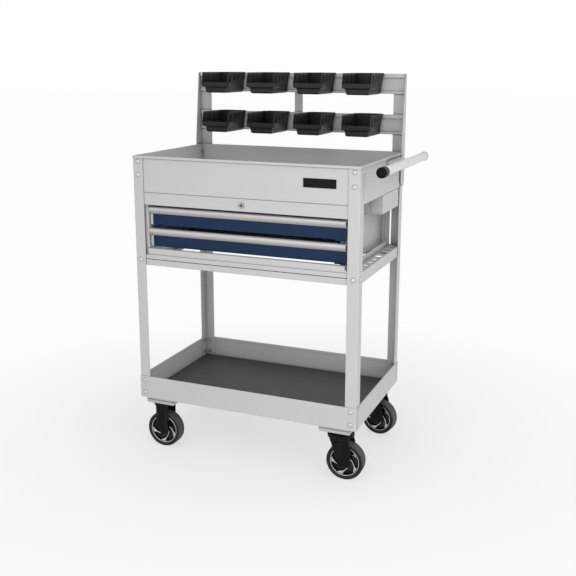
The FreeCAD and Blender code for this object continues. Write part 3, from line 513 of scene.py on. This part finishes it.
def frame_hardware():
    """Bolt heads on the posts and the nuts behind them."""
    heads, nuts = [], []
    for sx in (-1, 1):
        for sy in (-1, 1):
            x = sx * flange_mid
            y = sy * (half_y - flange_inset)
            front = sy < 0
            levels = [(z, 0) for z in upper_bolts if front] + [(mid_bolt, 0)]
            levels += [(z, shelf_skin + (0 if front else skin_rise)) for z in shelf_bolts]
            for z, out in levels:
                heads.append(bolt_mesh(rig + Vector((x, sy * (half_y + out), z)), (0, sy, 0)))
            side_levels = [(mid_bolt, 0)]
            if sx < 0:
                side_levels += [(z, shelf_skin + skin_rise) for z in shelf_bolts]
                side_levels += [(upper_bolts[0], 0)] if front else []
            for z, out in side_levels:
                heads.append(bolt_mesh(rig + Vector((sx * (half_x + out), y, z)), (sx, 0, 0)))
            for z in shelf_bolts:
                nuts.append(nut_mesh(rig + Vector((x, sy * (half_y - post_sheet), z)), (0, -sy, 0)))
                if sx < 0:
                    nuts.append(nut_mesh(rig + Vector((sx * (half_x - post_sheet), y, z)), (-sx, 0, 0)))
    smooth(piece("frame_bolt_heads", merged(heads, "frame_bolt_heads"), "zinc_steel", "cart"))
    smooth(piece("shelf_nuts", merged(nuts, "shelf_nuts"), "zinc_steel", "cart"))


def wall_screws():
    """Slide screws on the outside of the right wall."""
    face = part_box("side_box")[0].x
    meshes = [bolt_mesh(Vector((face, rig.y + y * MM, z * MM)), (1, 0, 0), screw_radius, screw_rise)
              for y, z in screw_spots]
    smooth(piece("wall_screws", merged(meshes, "wall_screws"), "zinc_steel", "cart"))


def shelf_skins():
    """Lapped side sheets of the shelf: the end walls fold round the corners and meet them in a seam."""
    low, high = shelf_low.z + skin_foot, shelf_high.z - skin_head
    reach = half_y + shelf_skin - skin_inset
    seam = reach - skin_tab
    notch = high - notch_down
    wall = [(-seam, low), (seam, low), (seam, notch), (seam - notch_along, high), (notch_along - seam, high),
            (-seam, notch)]
    corner = [(seam + skin_gap, low), (reach, low), (reach, high), (seam + skin_gap, high)]
    meshes = []
    for sx in (-1, 1):
        start = Vector((rig.x + sx * (half_x + shelf_skin), rig.y, 0))
        out = Vector((sx * skin_rise, 0, 0))
        meshes.append(prism(upright(wall), start, out))
        for sy in (-1, 1):
            meshes.append(prism(upright((sy * y, z) for y, z in corner), start, out))
    soften(piece("shelf_skins", merged(meshes, "shelf_skins"), "frame_paint", "cart"), 0.3 * MM)


def handle_end():
    """Front cap of the handle: a sleeve with a rounded rim, a groove and a shallow dome."""
    low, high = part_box("handle_cap_front")
    middle = (low + high) / 2
    depth = high.y - low.y
    shoulder, well = depth - cap_shoulder, depth - cap_groove[-1][1] * MM
    profile = [(cap_bore, 0), (cap_radius - cap_hem[0], 0), (cap_radius, cap_hem[1]), (cap_radius, shoulder)]
    profile += [(cap_radius - cap_round + cap_round * math.cos(a), shoulder + cap_round * math.sin(a))
                for a in arc(math.pi / 2, 6)[1:]]
    profile += [(radius * MM, depth - level * MM) for radius, level in cap_groove]
    profile += [(dome_radius * math.cos(a), well + dome_rise * math.sin(a))
                for a in arc(math.pi / 2, 8)[1:-1]]
    profile += [(0, well + dome_rise), (0, depth - cap_floor), (cap_bore, depth - cap_floor)]
    cap = lathe(profile, 64, facing(Vector((middle.x, high.y, middle.z)), (0, -1, 0)), True)
    obj = smooth(piece("handle_cap_ridge", cap, "cap_plastic", "cart"), 40)
    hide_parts("handle_cap_front")


# Drawer fronts: the blue pan, its drop at the right end, and the pale flange at its left
face_sheet, face_return = 1.2 * MM, 9 * MM
face_inset, face_reach = 8.5 * MM, 2 * MM
face_head, face_drop = 3 * MM, 3.5 * MM
wing_length, wing_inset = 38 * MM, 1 * MM
wing_top, wing_drop, wing_gap = 0.2 * MM, 4.6 * MM, 0.4 * MM
flange_reach, flange_step, flange_gap = 2 * MM, 0.6 * MM, 0.2 * MM

# Pulls: the crest and the tuck at the foot are shares of the height and of the depth
pull_fall, pull_depth, pull_wall = 2.6 * MM, 10 * MM, 1.8 * MM
pull_crest, pull_tuck = 0.3, 0.74
pull_steps = 16

# Lock face, a dark strip that stands for the shadow line in the joint over the mid frame, and joint plates behind
# the front posts
keyway_radius, keyway_half, keyway_tall = 5.0 * MM, 0.7 * MM, 3.4 * MM
keyway_face, keyway_rim, keyway_root, keyway_lip = 0.5 * MM, 0.2 * MM, 1 * MM, (0.8 * MM, 0.5 * MM)
strip_proud, strip_tall, strip_over = 0.5 * MM, 1.1 * MM, 0.4
closer_sheet, closer_set = 1.2 * MM, 0.8 * MM
closer_low, closer_high = 3 * MM, 22 * MM
closer_inset, closer_length = 9 * MM, 12 * MM
tab_low, tab_high = 925 * MM, 1000 * MM
tab_near, tab_far, tab_tip, tab_rise = 33 * MM, 59 * MM, 6 * MM, 3 * MM
tab_bolt_shift, tab_bolt_radius, tab_bolt_rise = 2 * MM, 6.6 * MM, 3.2 * MM


def pull_outline(height):
    """Section of a pull, in (out, up) pairs from its top at the face: a crest that falls back to the foot."""
    outer = []
    for i in range(pull_steps + 1):
        t = i / pull_steps
        if t < pull_crest:
            out = math.sqrt(max(0.0, 1 - ((pull_crest - t) / pull_crest) ** 2))
        else:
            out = 1 - pull_tuck * ((t - pull_crest) / (1 - pull_crest)) ** 2
        outer.append((out * pull_depth, -t * height))
    inner = [(max(out - pull_wall, 0), up) for out, up in reversed(outer[3:])]
    return outer + inner + [(0, outer[2][1])]


def drawer_fronts():
    """Folded blue pans with a drop at the right end, a pale flange at the left and a metal pull on top."""
    for row in ("upper", "lower"):
        body = "drawer_" + row
        low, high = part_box(body + "_face")
        sheet = min(face_sheet, high.y - low.y)
        top, foot = high.z - face_head, low.z - face_drop
        left, right = low.x + face_inset, high.x + face_reach
        section = upright([(0, foot), (face_return, foot), (face_return, foot + sheet), (sheet, foot + sheet),
                           (sheet, top), (0, top)])
        pan = prism(section, Vector((left, low.y, 0)), Vector((right - left, 0, 0)))
        near, far = sheet + wing_gap, 2 * sheet + wing_gap
        wing = upright([(near, foot - wing_drop), (far, foot - wing_drop), (far, foot - wing_top),
                        (near, foot - wing_top)])
        wing = prism(wing, Vector((right - wing_length, low.y, 0)), Vector((wing_length - wing_inset, 0, 0)))
        pan = soften(piece("drawer_pan_" + row, merged([pan, wing], "pan"), "drawer_paint", body), 0.4 * MM)
        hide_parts(body + "_face")
        edge = low.x - flange_reach
        flange = prism(section, Vector((edge, low.y + flange_step, 0)),
                       Vector((left - edge - flange_gap, 0, 0)))
        soften(piece("drawer_flange_" + row, flange, "frame_paint", body), 0.3 * MM)
        pull_low, pull_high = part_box(body + "_pull")
        crown = pull_high.z - pull_fall
        outline = upright((-out, up) for out, up in pull_outline(crown - pull_low.z))
        pull = prism(outline, Vector((pull_low.x, pull_high.y, crown)),
                     Vector((pull_high.x - pull_low.x, 0, 0)))
        pull = smooth(piece("pull_bar_" + row, pull, "pull_aluminium", body), 30)
        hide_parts(body + "_pull")


def lock_face():
    """Dark keyway disc and slot on the plug."""
    low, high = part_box("lock_barrel")
    middle = (low + high) / 2
    place = Vector((middle.x, low.y, middle.z))
    profile = [(0, keyway_face), (keyway_radius * 0.8, keyway_face), (keyway_radius, keyway_rim),
               (keyway_radius, -keyway_root), (0, -keyway_root)]
    smooth(piece("lock_keyway_disc", lathe(profile, 40, facing(place, (0, -1, 0))), "cap_plastic", "lock"))
    rim = [Vector((x, 0, z)) for x, z in ((-keyway_half, -keyway_tall), (keyway_half, -keyway_tall),
                                          (keyway_half, keyway_tall), (-keyway_half, keyway_tall))]
    slot = prism(rim, place + Vector((0, -keyway_lip[0], 0)), Vector((0, keyway_lip[1], 0)))
    soften(piece("lock_keyway_lips", slot, "lock_chrome", "lock"), 0.15 * MM)


def mid_joint():
    """Dark strip along the lip over the mid frame, put where the joint's shadow line falls, and the plate that
    closes its right end.
    """
    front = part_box("mid_frame")[0].y
    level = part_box("cabinet_bottom_rail")[0].z
    left, right = post_high.x, post_right_low.x
    top = strip_tall * strip_over
    # Painted shadow: a thin dark strip that stands for the shade in the joint
    rim = upright([(-strip_proud, -strip_tall), (-strip_proud, top),
                   (strip_proud, top), (strip_proud, -strip_tall)])
    strip = prism(rim, Vector((left, front, level)), Vector((right - left, 0, 0)))
    soften(piece("mid_joint_shadow_strip", strip, "cap_plastic", "cart"), 0.2 * MM)
    plate = upright([(0, -closer_low), (closer_sheet, -closer_low),
                     (closer_sheet, closer_high), (0, closer_high)])
    closer = prism(plate, Vector((right - closer_inset, front + closer_set, level)),
                   Vector((closer_length, 0, 0)))
    soften(piece("mid_joint_closer", closer, "frame_paint", "cart"), 0.2 * MM)


def side_tabs():
    """Joint plates just behind the front posts, each with one bolt."""
    near, far = tab_near - half_y, tab_far - half_y
    outline = upright([(near, tab_low), (far - tab_tip, tab_low), (far, tab_low + tab_tip),
                       (far, tab_high - tab_tip), (far - tab_tip, tab_high), (near, tab_high)])
    bolt_y = rig.y + (near + far) / 2 + tab_bolt_shift
    tabs, heads = [], []
    for sx in (-1, 1):
        face = rig.x + sx * (half_x - post_sheet)
        tabs.append(prism(outline, Vector((face, rig.y, 0)), Vector((sx * tab_rise, 0, 0))))
        heads.append(bolt_mesh(Vector((face + sx * tab_rise, bolt_y, upper_bolts[1])), (sx, 0, 0),
                               tab_bolt_radius, tab_bolt_rise))
    soften(piece("side_joint_plates", merged(tabs, "side_joint_plates"), "frame_paint", "cart"), 0.3 * MM)
    smooth(piece("side_joint_bolts", merged(heads, "side_joint_bolts"), "zinc_steel", "cart"))


# Bins, in mm. Columns are shares of the depth from the front. Each row is a height, the reach to the front,
# and the half widths of the lip, the cheek and the wall. Each slot is a column and its rows.
bin_height = 71
bin_columns = (0.0, 0.045, 0.10, 0.165, 0.24, 0.29, 0.35, 0.415, 0.57, 0.635, 1.0)
lip_columns, lip_row = 2, 4
cheek_end, wall_start = 0.15, 0.8
bin_rows = (
    (0.0, 132.5, 35.5, 35.5, 35.5), (4.5, 136.1, 39.6, 39.6, 39.6), (18.0, 136.4, 41.5, 41.5, 41.5),
    (22.0, 146.3, 50.5, 45.0, 42.1), (36.0, 147.8, 50.5, 50.5, 44.1), (44.0, 145.4, 50.5, 50.5, 45.2),
    (63.0, 139.9, 50.5, 50.5, 47.9), (66.6, 138.9, 50.5, 50.5, 48.4), (67.4, 138.7, 51.0, 51.0, 51.0),
    (71.0, 137.8, 51.0, 51.0, 51.0))
bin_slots = ((2, (4, 5)), (6, (5,)), (8, (5,)))
bin_slot_depth = 3.0
bin_wall = 2.0
bin_inside = (70, 30)
hook_half, hook_wall, hook_drop, hook_tuck = 41 * MM, 1.8 * MM, 2.0 * MM, 2.0 * MM


def bin_mesh(back, middle, floor):
    """Open shell of a bin: tapered sides with slots, a flared hopper lip and a proud rim."""
    bm = bmesh.new()
    grids = {}
    for side in (-1, 1):
        rows = []
        for height, front, lip, cheek, wall in bin_rows:
            row = []
            for i, share in enumerate(bin_columns):
                blend = min(max((share - cheek_end) / (wall_start - cheek_end), 0), 1)
                half = lip if i < lip_columns else cheek + (wall - cheek) * blend
                row.append(bm.verts.new((middle + side * half * MM, back - front * (1 - share) * MM,
                                         floor + height * MM)))
            rows.append(row)
        grids[side] = rows
    left, right = grids[-1], grids[1]
    cells = {}
    for side, rows in grids.items():
        for r in range(len(rows) - 1):
            for c in range(len(bin_columns) - 1):
                corners = (rows[r][c], rows[r][c + 1], rows[r + 1][c + 1], rows[r + 1][c])
                cells[side, r, c] = bm.faces.new(corners)
    for c in range(len(bin_columns) - 1):
        bm.faces.new((left[0][c], left[0][c + 1], right[0][c + 1], right[0][c]))
    for r in range(len(bin_rows) - 1):
        bm.faces.new((left[r][-1], left[r + 1][-1], right[r + 1][-1], right[r][-1]))
        if r < lip_row:
            bm.faces.new((left[r][0], left[r + 1][0], right[r + 1][0], right[r][0]))
    for side in (-1, 1):
        for column, span in bin_slots:
            faces = [cells[side, r, column] for r in span]
            made = bmesh.ops.extrude_face_region(bm, geom=faces)["geom"]
            verts = [v for v in made if isinstance(v, bmesh.types.BMVert)]
            bmesh.ops.translate(bm, verts=verts, vec=(-side * bin_slot_depth * MM, 0, 0))
            bmesh.ops.delete(bm, geom=[f for f in faces if f.is_valid], context="FACES_ONLY")
    bmesh.ops.recalc_face_normals(bm, faces=bm.faces)
    inside = Vector((middle, back - bin_inside[0] * MM, floor + bin_inside[1] * MM))
    if sum(f.normal.dot(f.calc_center_median() - inside) for f in bm.faces) < 0:
        bmesh.ops.reverse_faces(bm, faces=bm.faces)
    return meshed(bm, "bin")


def hook_mesh(middle, back, reach, top):
    """Hook of a bin: a flat strip with its rear edge turned down."""
    under = -hook_wall - hook_drop
    outline = upright([(-hook_tuck, -hook_wall), (reach - hook_wall, -hook_wall), (reach - hook_wall, under),
                       (reach, under), (reach, 0), (-hook_tuck, 0)])
    return prism(outline, Vector((middle - hook_half, back, top)), Vector((2 * hook_half, 0, 0)))


def bins():
    """Eight open bins, each with the hook it hangs by."""
    for name in [f"{row}_{n}" for row in ("upper", "lower") for n in range(1, 5)]:
        body = "bin_" + name
        low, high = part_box(body)
        middle = (low.x + high.x) / 2
        back = low.y + bin_rows[lip_row][1] * MM
        shape = bin_mesh(back, middle, high.z - bin_height * MM)
        shell = piece("bin_shell_" + name, shape, "bin_plastic", body)
        skin = shell.modifiers.new("wall", "SOLIDIFY")
        skin.thickness = bin_wall * MM
        skin.offset = -1
        skin.use_even_offset = True
        skin.use_quality_normals = True
        soften(shell, 0.45 * MM)
        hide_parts(body)
        hook = hook_mesh(middle, back, high.y - back, high.z)
        soften(piece("bin_hook_" + name, hook, "bin_plastic", body), 0.4 * MM)


# Wheels and forks, in mm and degrees
# Half profiles of the turned parts, as radius and distance from the middle
tyre_half = (
    (49.9, 16.6), (50.4, 17.9), (51.3, 18.6), (52.3, 18.3), (53.2, 18.6), (54.3, 20.0), (55.0, 20.5),
    (55.7, 20.1), (56.6, 20.2), (59.4, 19.8), (60.8, 19.0), (61.7, 17.4), (62.1, 15.4), (61.9, 14.9),
    (61.2, 14.5), (61.2, 13.8), (62.0, 13.4), (62.3, 12.8), (62.4, 8.4), (61.8, 8.0), (61.8, 7.3),
    (62.4, 6.9), (62.5, 1.2), (61.9, 0.8))
hub_half = (
    (5.2, 27.0), (12.6, 27.0), (13.6, 26.2), (14.2, 20.0), (16.8, 15.5), (17.4, 8.0), (20.0, 4.6),
    (41.5, 4.2), (43.6, 6.2), (44.8, 14.6), (45.4, 16.2), (49.8, 16.4))
axle_half = ((0, 34.4), (2.5, 34.2), (5.2, 33.4), (7.0, 32.2), (7.9, 30.9), (7.9, 30.6), (4.9, 30.5))
# Spokes: turn of the first one, sweep, width and flare at the tip; section in half widths and depths
spoke_turns = {"front_left": -263, "rear_left": -263, "front_right": -250, "rear_right": -248}
spoke_count, spoke_steps = 5, 22
spoke_sweep, spoke_bend = 72, 1.8
spoke_root, spoke_tip = 16.0, 47.6
spoke_width, spoke_widening = 2.9, 0.8
flare_start, flare_width, flare_bend = 0.42, 12.0, 2.3
spoke_level, spoke_climb = 12.6, 3.6
spoke_section = ((-1.0, 5.0), (-0.8, 0.9), (-0.3, 0.0), (0.3, 0.0), (0.8, 0.9), (1.0, 5.0))
# Inner and outer radius, level and rise of the rim ring
rim_ring = (46.6, 49.9, 15.2, 2.4)
# Place across the leg, lower and upper end above the axle, and width of the ribs on each fork leg
fork_ribs = {"left": ((-15, 24, 84, 5), (15, 6, 84, 5)), "right": ((-15, 8, 70, 11),)}
rib_face, rib_root, rib_top, rib_cut = 30.4, 1.0, 2.0, 1.3
fork_sheet, fork_outer, plate_lap = 3 * MM, 30.5 * MM, 1.5 * MM
fork_flank, fork_root, fork_neck = 22 * MM, 30 * MM, 12 * MM
foot_radius, foot_shift = 15 * MM, 6 * MM
# Bends of the leg's rear and front edge, as across and above the axle
leg_rear, leg_heel, leg_front = 20 * MM, (-9 * MM, -9 * MM), (21 * MM, 12 * MM)


def wheel_frame(corner):
    """Centre and axis of a wheel: local Z is the axle, X points right and Y down, seen from the front."""
    joint = next(j for j in frame["joints"] if j["child"] == "wheel_" + corner)
    axis = Vector(joint["axis"])
    across = axis.cross(Vector((0, 0, 1)))
    turn = Matrix((across, axis.cross(across), axis)).transposed().to_4x4()
    return Matrix.Translation(joint["pos_m"]) @ turn


def doubled(side):
    """Profile of a turned part in metres from one half, mirrored over the middle."""
    return [(r * MM, z * MM) for r, z in side] + [(r * MM, -z * MM) for r, z in reversed(side)]


def tyre_mesh(matrix):
    """Tyre with a bead ring, a thin ridge on the sidewall and grooves round the tread."""
    return lathe(doubled(tyre_half), 96, matrix, True)


def hub_mesh(matrix):
    """Dark rim, web and boss in one turned casting."""
    return lathe(doubled(hub_half), 96, matrix, True)


def spoke_mesh(matrix, side, first):
    """Swept spokes that flare into the rim ring, raised on one face of the hub."""
    bm = bmesh.new()
    for n in range(spoke_count):
        rows = []
        for i in range(spoke_steps + 1):
            t = i / spoke_steps
            radius = spoke_root + (spoke_tip - spoke_root) * t
            angle = math.radians(first + n * 360 / spoke_count - spoke_sweep * (1 - t) ** spoke_bend)
            flare = max(0.0, (t - flare_start) / (1 - flare_start)) ** flare_bend
            width = spoke_width + spoke_widening * t + flare_width * flare
            rise = spoke_level + spoke_climb * t
            row = []
            for offset, drop in spoke_section:
                a = angle + offset * width / radius
                place = Vector((radius * math.cos(a), radius * math.sin(a), side * (rise - drop)))
                row.append(bm.verts.new(place * MM))
            rows.append(row)
        for low, high in zip(rows, rows[1:]):
            for k in range(len(low) - 1):
                bm.faces.new((low[k], low[k + 1], high[k + 1], high[k]))
            bm.faces.new((low[-1], low[0], high[0], high[-1]))
        bm.faces.new(rows[0])
        bm.faces.new(list(reversed(rows[-1])))
    bmesh.ops.recalc_face_normals(bm, faces=bm.faces)
    return meshed(bm, "spokes", matrix)


def ring_mesh(matrix, side):
    """Rounded rim ring on one face of the hub."""
    inner, outer, level, rise = rim_ring
    profile = []
    for a in arc(math.pi, 8):
        radius = (inner + outer) / 2 - (outer - inner) / 2 * math.cos(a)
        profile.append((radius * MM, side * (level + rise * math.sin(a)) * MM))
    return lathe(profile, 96, matrix, True)


def axle_mesh(matrix):
    """Axle bolt with a domed head at each end."""
    return lathe(doubled(axle_half), 40, matrix)


def rib_mesh(matrix, side, x, low, high, width):
    """Embossed rib on the outside of a fork leg; low and high are above the axle."""
    half = width / 2
    bm = bmesh.new()
    rings = []
    for level, inset in ((-rib_root, 0.0), (rib_top * 0.4, 0.0), (rib_top, rib_cut)):
        ring = []
        for end, sign in ((low, -1), (high, 1)):
            for a in arc(math.pi, 8):
                px = x + sign * (half - inset) * math.cos(a)
                py = end + sign * ((half - inset) * math.sin(a) - half)
                ring.append(bm.verts.new(Vector((px, -py, side * (rib_face + level))) * MM))
        rings.append(ring)
    count = len(rings[0])
    for under, over in zip(rings, rings[1:]):
        for i in range(count):
            k = (i + 1) % count
            bm.faces.new((under[i], under[k], over[k], over[i]))
    bm.faces.new(rings[0])
    bm.faces.new(rings[-1])
    bmesh.ops.recalc_face_normals(bm, faces=bm.faces)
    return meshed(bm, "rib", matrix)


def rigid_fork(matrix, low, high):
    """Pressed fork: a bolting plate and two legs that narrow to a rounded foot at the axle."""
    centre = matrix.translation
    plate_x, plate_y = (high.x - low.x) / 2, fork_outer + plate_lap
    under = high.z - fork_sheet
    neck = under - fork_neck
    plate = [Vector((sx * plate_x, sy * plate_y, 0)) for sx, sy in ((-1, -1), (1, -1), (1, 1), (-1, 1))]
    meshes = [prism(plate, Vector((centre.x, centre.y, under)), Vector((0, 0, fork_sheet)))]
    leg = [(-fork_root, under), (-fork_flank, neck), (-fork_flank, centre.z + leg_rear),
           (leg_heel[0], centre.z + leg_heel[1])]
    for a in arc(0.75 * math.pi, 6):
        a += 1.25 * math.pi
        leg.append((foot_shift + foot_radius * math.cos(a), low.z + foot_radius * (1 + math.sin(a))))
    leg += [(leg_front[0], centre.z + leg_front[1]), (fork_flank, neck), (fork_root, under)]
    leg = [Vector((x, 0, z)) for x, z in leg]
    for side in (-1, 1):
        inner = centre.y + side * (fork_outer - fork_sheet)
        meshes.append(prism(leg, Vector((centre.x, inner, 0)), Vector((0, side * fork_sheet, 0))))
    return merged(meshes, "rigid_fork")


def wheels():
    """Tyres, hubs and spokes on the wheels; ribs, axles and pressings on the forks."""
    rigid_axles, rigid_ribs, forks = [], [], []
    fork_low, fork_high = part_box("rigid_forks")
    for corner in ("front_left", "rear_left", "front_right", "rear_right"):
        matrix = wheel_frame(corner)
        body = "wheel_" + corner
        tyre = smooth(piece("tyre_rubber_" + corner, tyre_mesh(matrix), "tyre_rubber", body), 28)
        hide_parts("tyre_" + corner)
        hub = smooth(piece("hub_dish_" + corner, hub_mesh(matrix), "hub_plastic", body))
        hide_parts("hub_" + corner)
        parts = []
        for side in (-1, 1):
            parts += [spoke_mesh(matrix, side, spoke_turns[corner]), ring_mesh(matrix, side)]
        smooth(piece("hub_spokes_" + corner, merged(parts, "spokes"), "lock_chrome", body), 50)
        place, way = corner.split("_")
        ribs = [rib_mesh(matrix, side, *rib) for side in (-1, 1) for rib in fork_ribs[way]]
        if way == "left":
            rigid_ribs += ribs
            forks.append(rigid_fork(matrix, fork_low, fork_high))
            rigid_axles.append(axle_mesh(matrix))
            continue
        fork = "swivel_" + place
        smooth(piece("fork_ribs_" + place, merged(ribs, "fork_ribs"), "fork_paint", fork))
        axle = smooth(piece("axle_bolt_" + place, axle_mesh(matrix), "fork_paint", fork))
        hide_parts("swivel_axle_" + place)
    smooth(piece("fork_ribs_rigid", merged(rigid_ribs, "fork_ribs"), "fork_paint", "cart"))
    pressed = soften(piece("fork_pressings_rigid", merged(forks, "forks"), "fork_paint", "cart"), 0.6 * MM)
    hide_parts("rigid_forks")
    axle = smooth(piece("axle_bolts_rigid", merged(rigid_axles, "axle_bolts"), "fork_paint", "cart"))
    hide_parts("rigid_axles")


frame_hardware()
wall_screws()
shelf_skins()
handle_end()
drawer_fronts()
lock_face()
mid_joint()
side_tabs()
bins()
wheels()


# Floor, backdrop and light: the floor fades to the backdrop between two distances from the middle
floor_radius = 40
floor_near, floor_far = 0.4, 1.5
floor_share = (0.6, 1.0)
world_level = 0.52
light_target = (0, 0, 0.75)
# Name, place, size and power
lights = (
    ("front_low", (0.35, -1.6, 0.85), 1.6, 5.8), ("front_high", (0.3, -2.0, 2.2), 2.0, 7.0),
    ("key", (2.4, -1.2, 2.2), 2.0, 17), ("right_low", (2.4, -0.9, 0.85), 1.6, 4))


def seen_directly(tree):
    """1 for rays that show the backdrop itself: straight, mirrored or through glass."""
    path = tree.nodes.new("ShaderNodeLightPath")
    total = path.outputs["Is Camera Ray"]
    for kind in ("Is Glossy Ray", "Is Transmission Ray"):
        node = tree.nodes.new("ShaderNodeMath")
        node.operation = "MAXIMUM"
        tree.links.new(total, node.inputs[0])
        tree.links.new(path.outputs[kind], node.inputs[1])
        total = node.outputs[0]
    return total


def floor_material():
    """Pale floor that keeps the shadow near the object and runs out to a white backdrop."""
    finish = Finish("floor")
    finish.colour(tone(250, 250, 250))
    finish.roughness(0.9)
    finish.specular(0.1)
    length = finish.add("ShaderNodeVectorMath", operation="LENGTH")
    finish.link(finish.place, length.inputs[0])
    far = finish.spread(length.outputs["Value"], floor_near, floor_far, *floor_share)
    glow = finish.add("ShaderNodeEmission")
    glow.inputs["Color"].default_value = tone(253, 253, 253)
    blend = finish.add("ShaderNodeMixShader")
    finish.link(far, blend.inputs[0])
    finish.link(finish.shader.outputs[0], blend.inputs[1])
    finish.link(glow.outputs[0], blend.inputs[2])
    pick = finish.add("ShaderNodeMixShader")
    finish.link(seen_directly(finish.tree), pick.inputs[0])
    finish.link(finish.shader.outputs[0], pick.inputs[1])
    finish.link(blend.outputs[0], pick.inputs[2])
    finish.link(pick.outputs[0], finish.tree.nodes["Material Output"].inputs["Surface"])
    return finish.material


def stage_floor():
    bm = bmesh.new()
    bmesh.ops.create_circle(bm, cap_ends=True, segments=96, radius=floor_radius)
    mesh = meshed(bm, "floor")
    mesh.materials.append(floor_material())
    obj = bpy.data.objects.new("floor", mesh)
    bpy.context.scene.collection.objects.link(obj)


def area_light(name, place, size, power):
    """Round lamp turned to the target, itself unseen."""
    data = bpy.data.lights.new(name, "AREA")
    data.shape = "DISK"
    data.size = size
    data.energy = power
    obj = bpy.data.objects.new(name, data)
    bpy.context.scene.collection.objects.link(obj)
    obj.location = place
    obj.visible_camera = False
    obj.rotation_mode = "QUATERNION"
    obj.rotation_quaternion = (Vector(place) - Vector(light_target)).to_track_quat("Z", "Y")


def studio_world():
    """White behind the object, and a weaker even light on it."""
    world = bpy.data.worlds.new("studio")
    world.use_nodes = True
    tree = world.node_tree
    light = tree.nodes["Background"]
    seen = tree.nodes.new("ShaderNodeBackground")
    seen.inputs["Color"].default_value = (1, 1, 1, 1)
    seen.inputs["Strength"].default_value = 1.0
    light.inputs["Color"].default_value = (1, 1, 1, 1)
    light.inputs["Strength"].default_value = world_level
    mix = tree.nodes.new("ShaderNodeMixShader")
    tree.links.new(seen_directly(tree), mix.inputs[0])
    tree.links.new(light.outputs[0], mix.inputs[1])
    tree.links.new(seen.outputs[0], mix.inputs[2])
    tree.links.new(mix.outputs[0], tree.nodes["World Output"].inputs["Surface"])
    bpy.context.scene.world = world


def studio_camera():
    """Camera at the place and angles solved from the photograph."""
    data = bpy.data.cameras.new("camera")
    data.sensor_width = camera_sensor
    data.lens = camera_lens
    data.shift_x, data.shift_y = camera_shift
    data.clip_end = camera_reach
    cam = bpy.data.objects.new("camera", data)
    bpy.context.scene.collection.objects.link(cam)
    level = math.cos(camera_dip)
    ahead = Vector((-math.sin(camera_turn) * level, math.cos(camera_turn) * level, -math.sin(camera_dip)))
    side = Vector((math.cos(camera_turn), math.sin(camera_turn), 0))
    up = side.cross(ahead)
    right = math.cos(camera_roll) * side + math.sin(camera_roll) * up
    above = -math.sin(camera_roll) * side + math.cos(camera_roll) * up
    turn = Matrix((right, above, -ahead)).transposed().to_4x4()
    cam.matrix_world = Matrix.Translation(camera_place) @ turn
    bpy.context.scene.camera = cam


stage_floor()
studio_world()
studio_camera()
for light in lights:
    area_light(*light)
bpy.context.scene.view_settings.view_transform = "Standard"
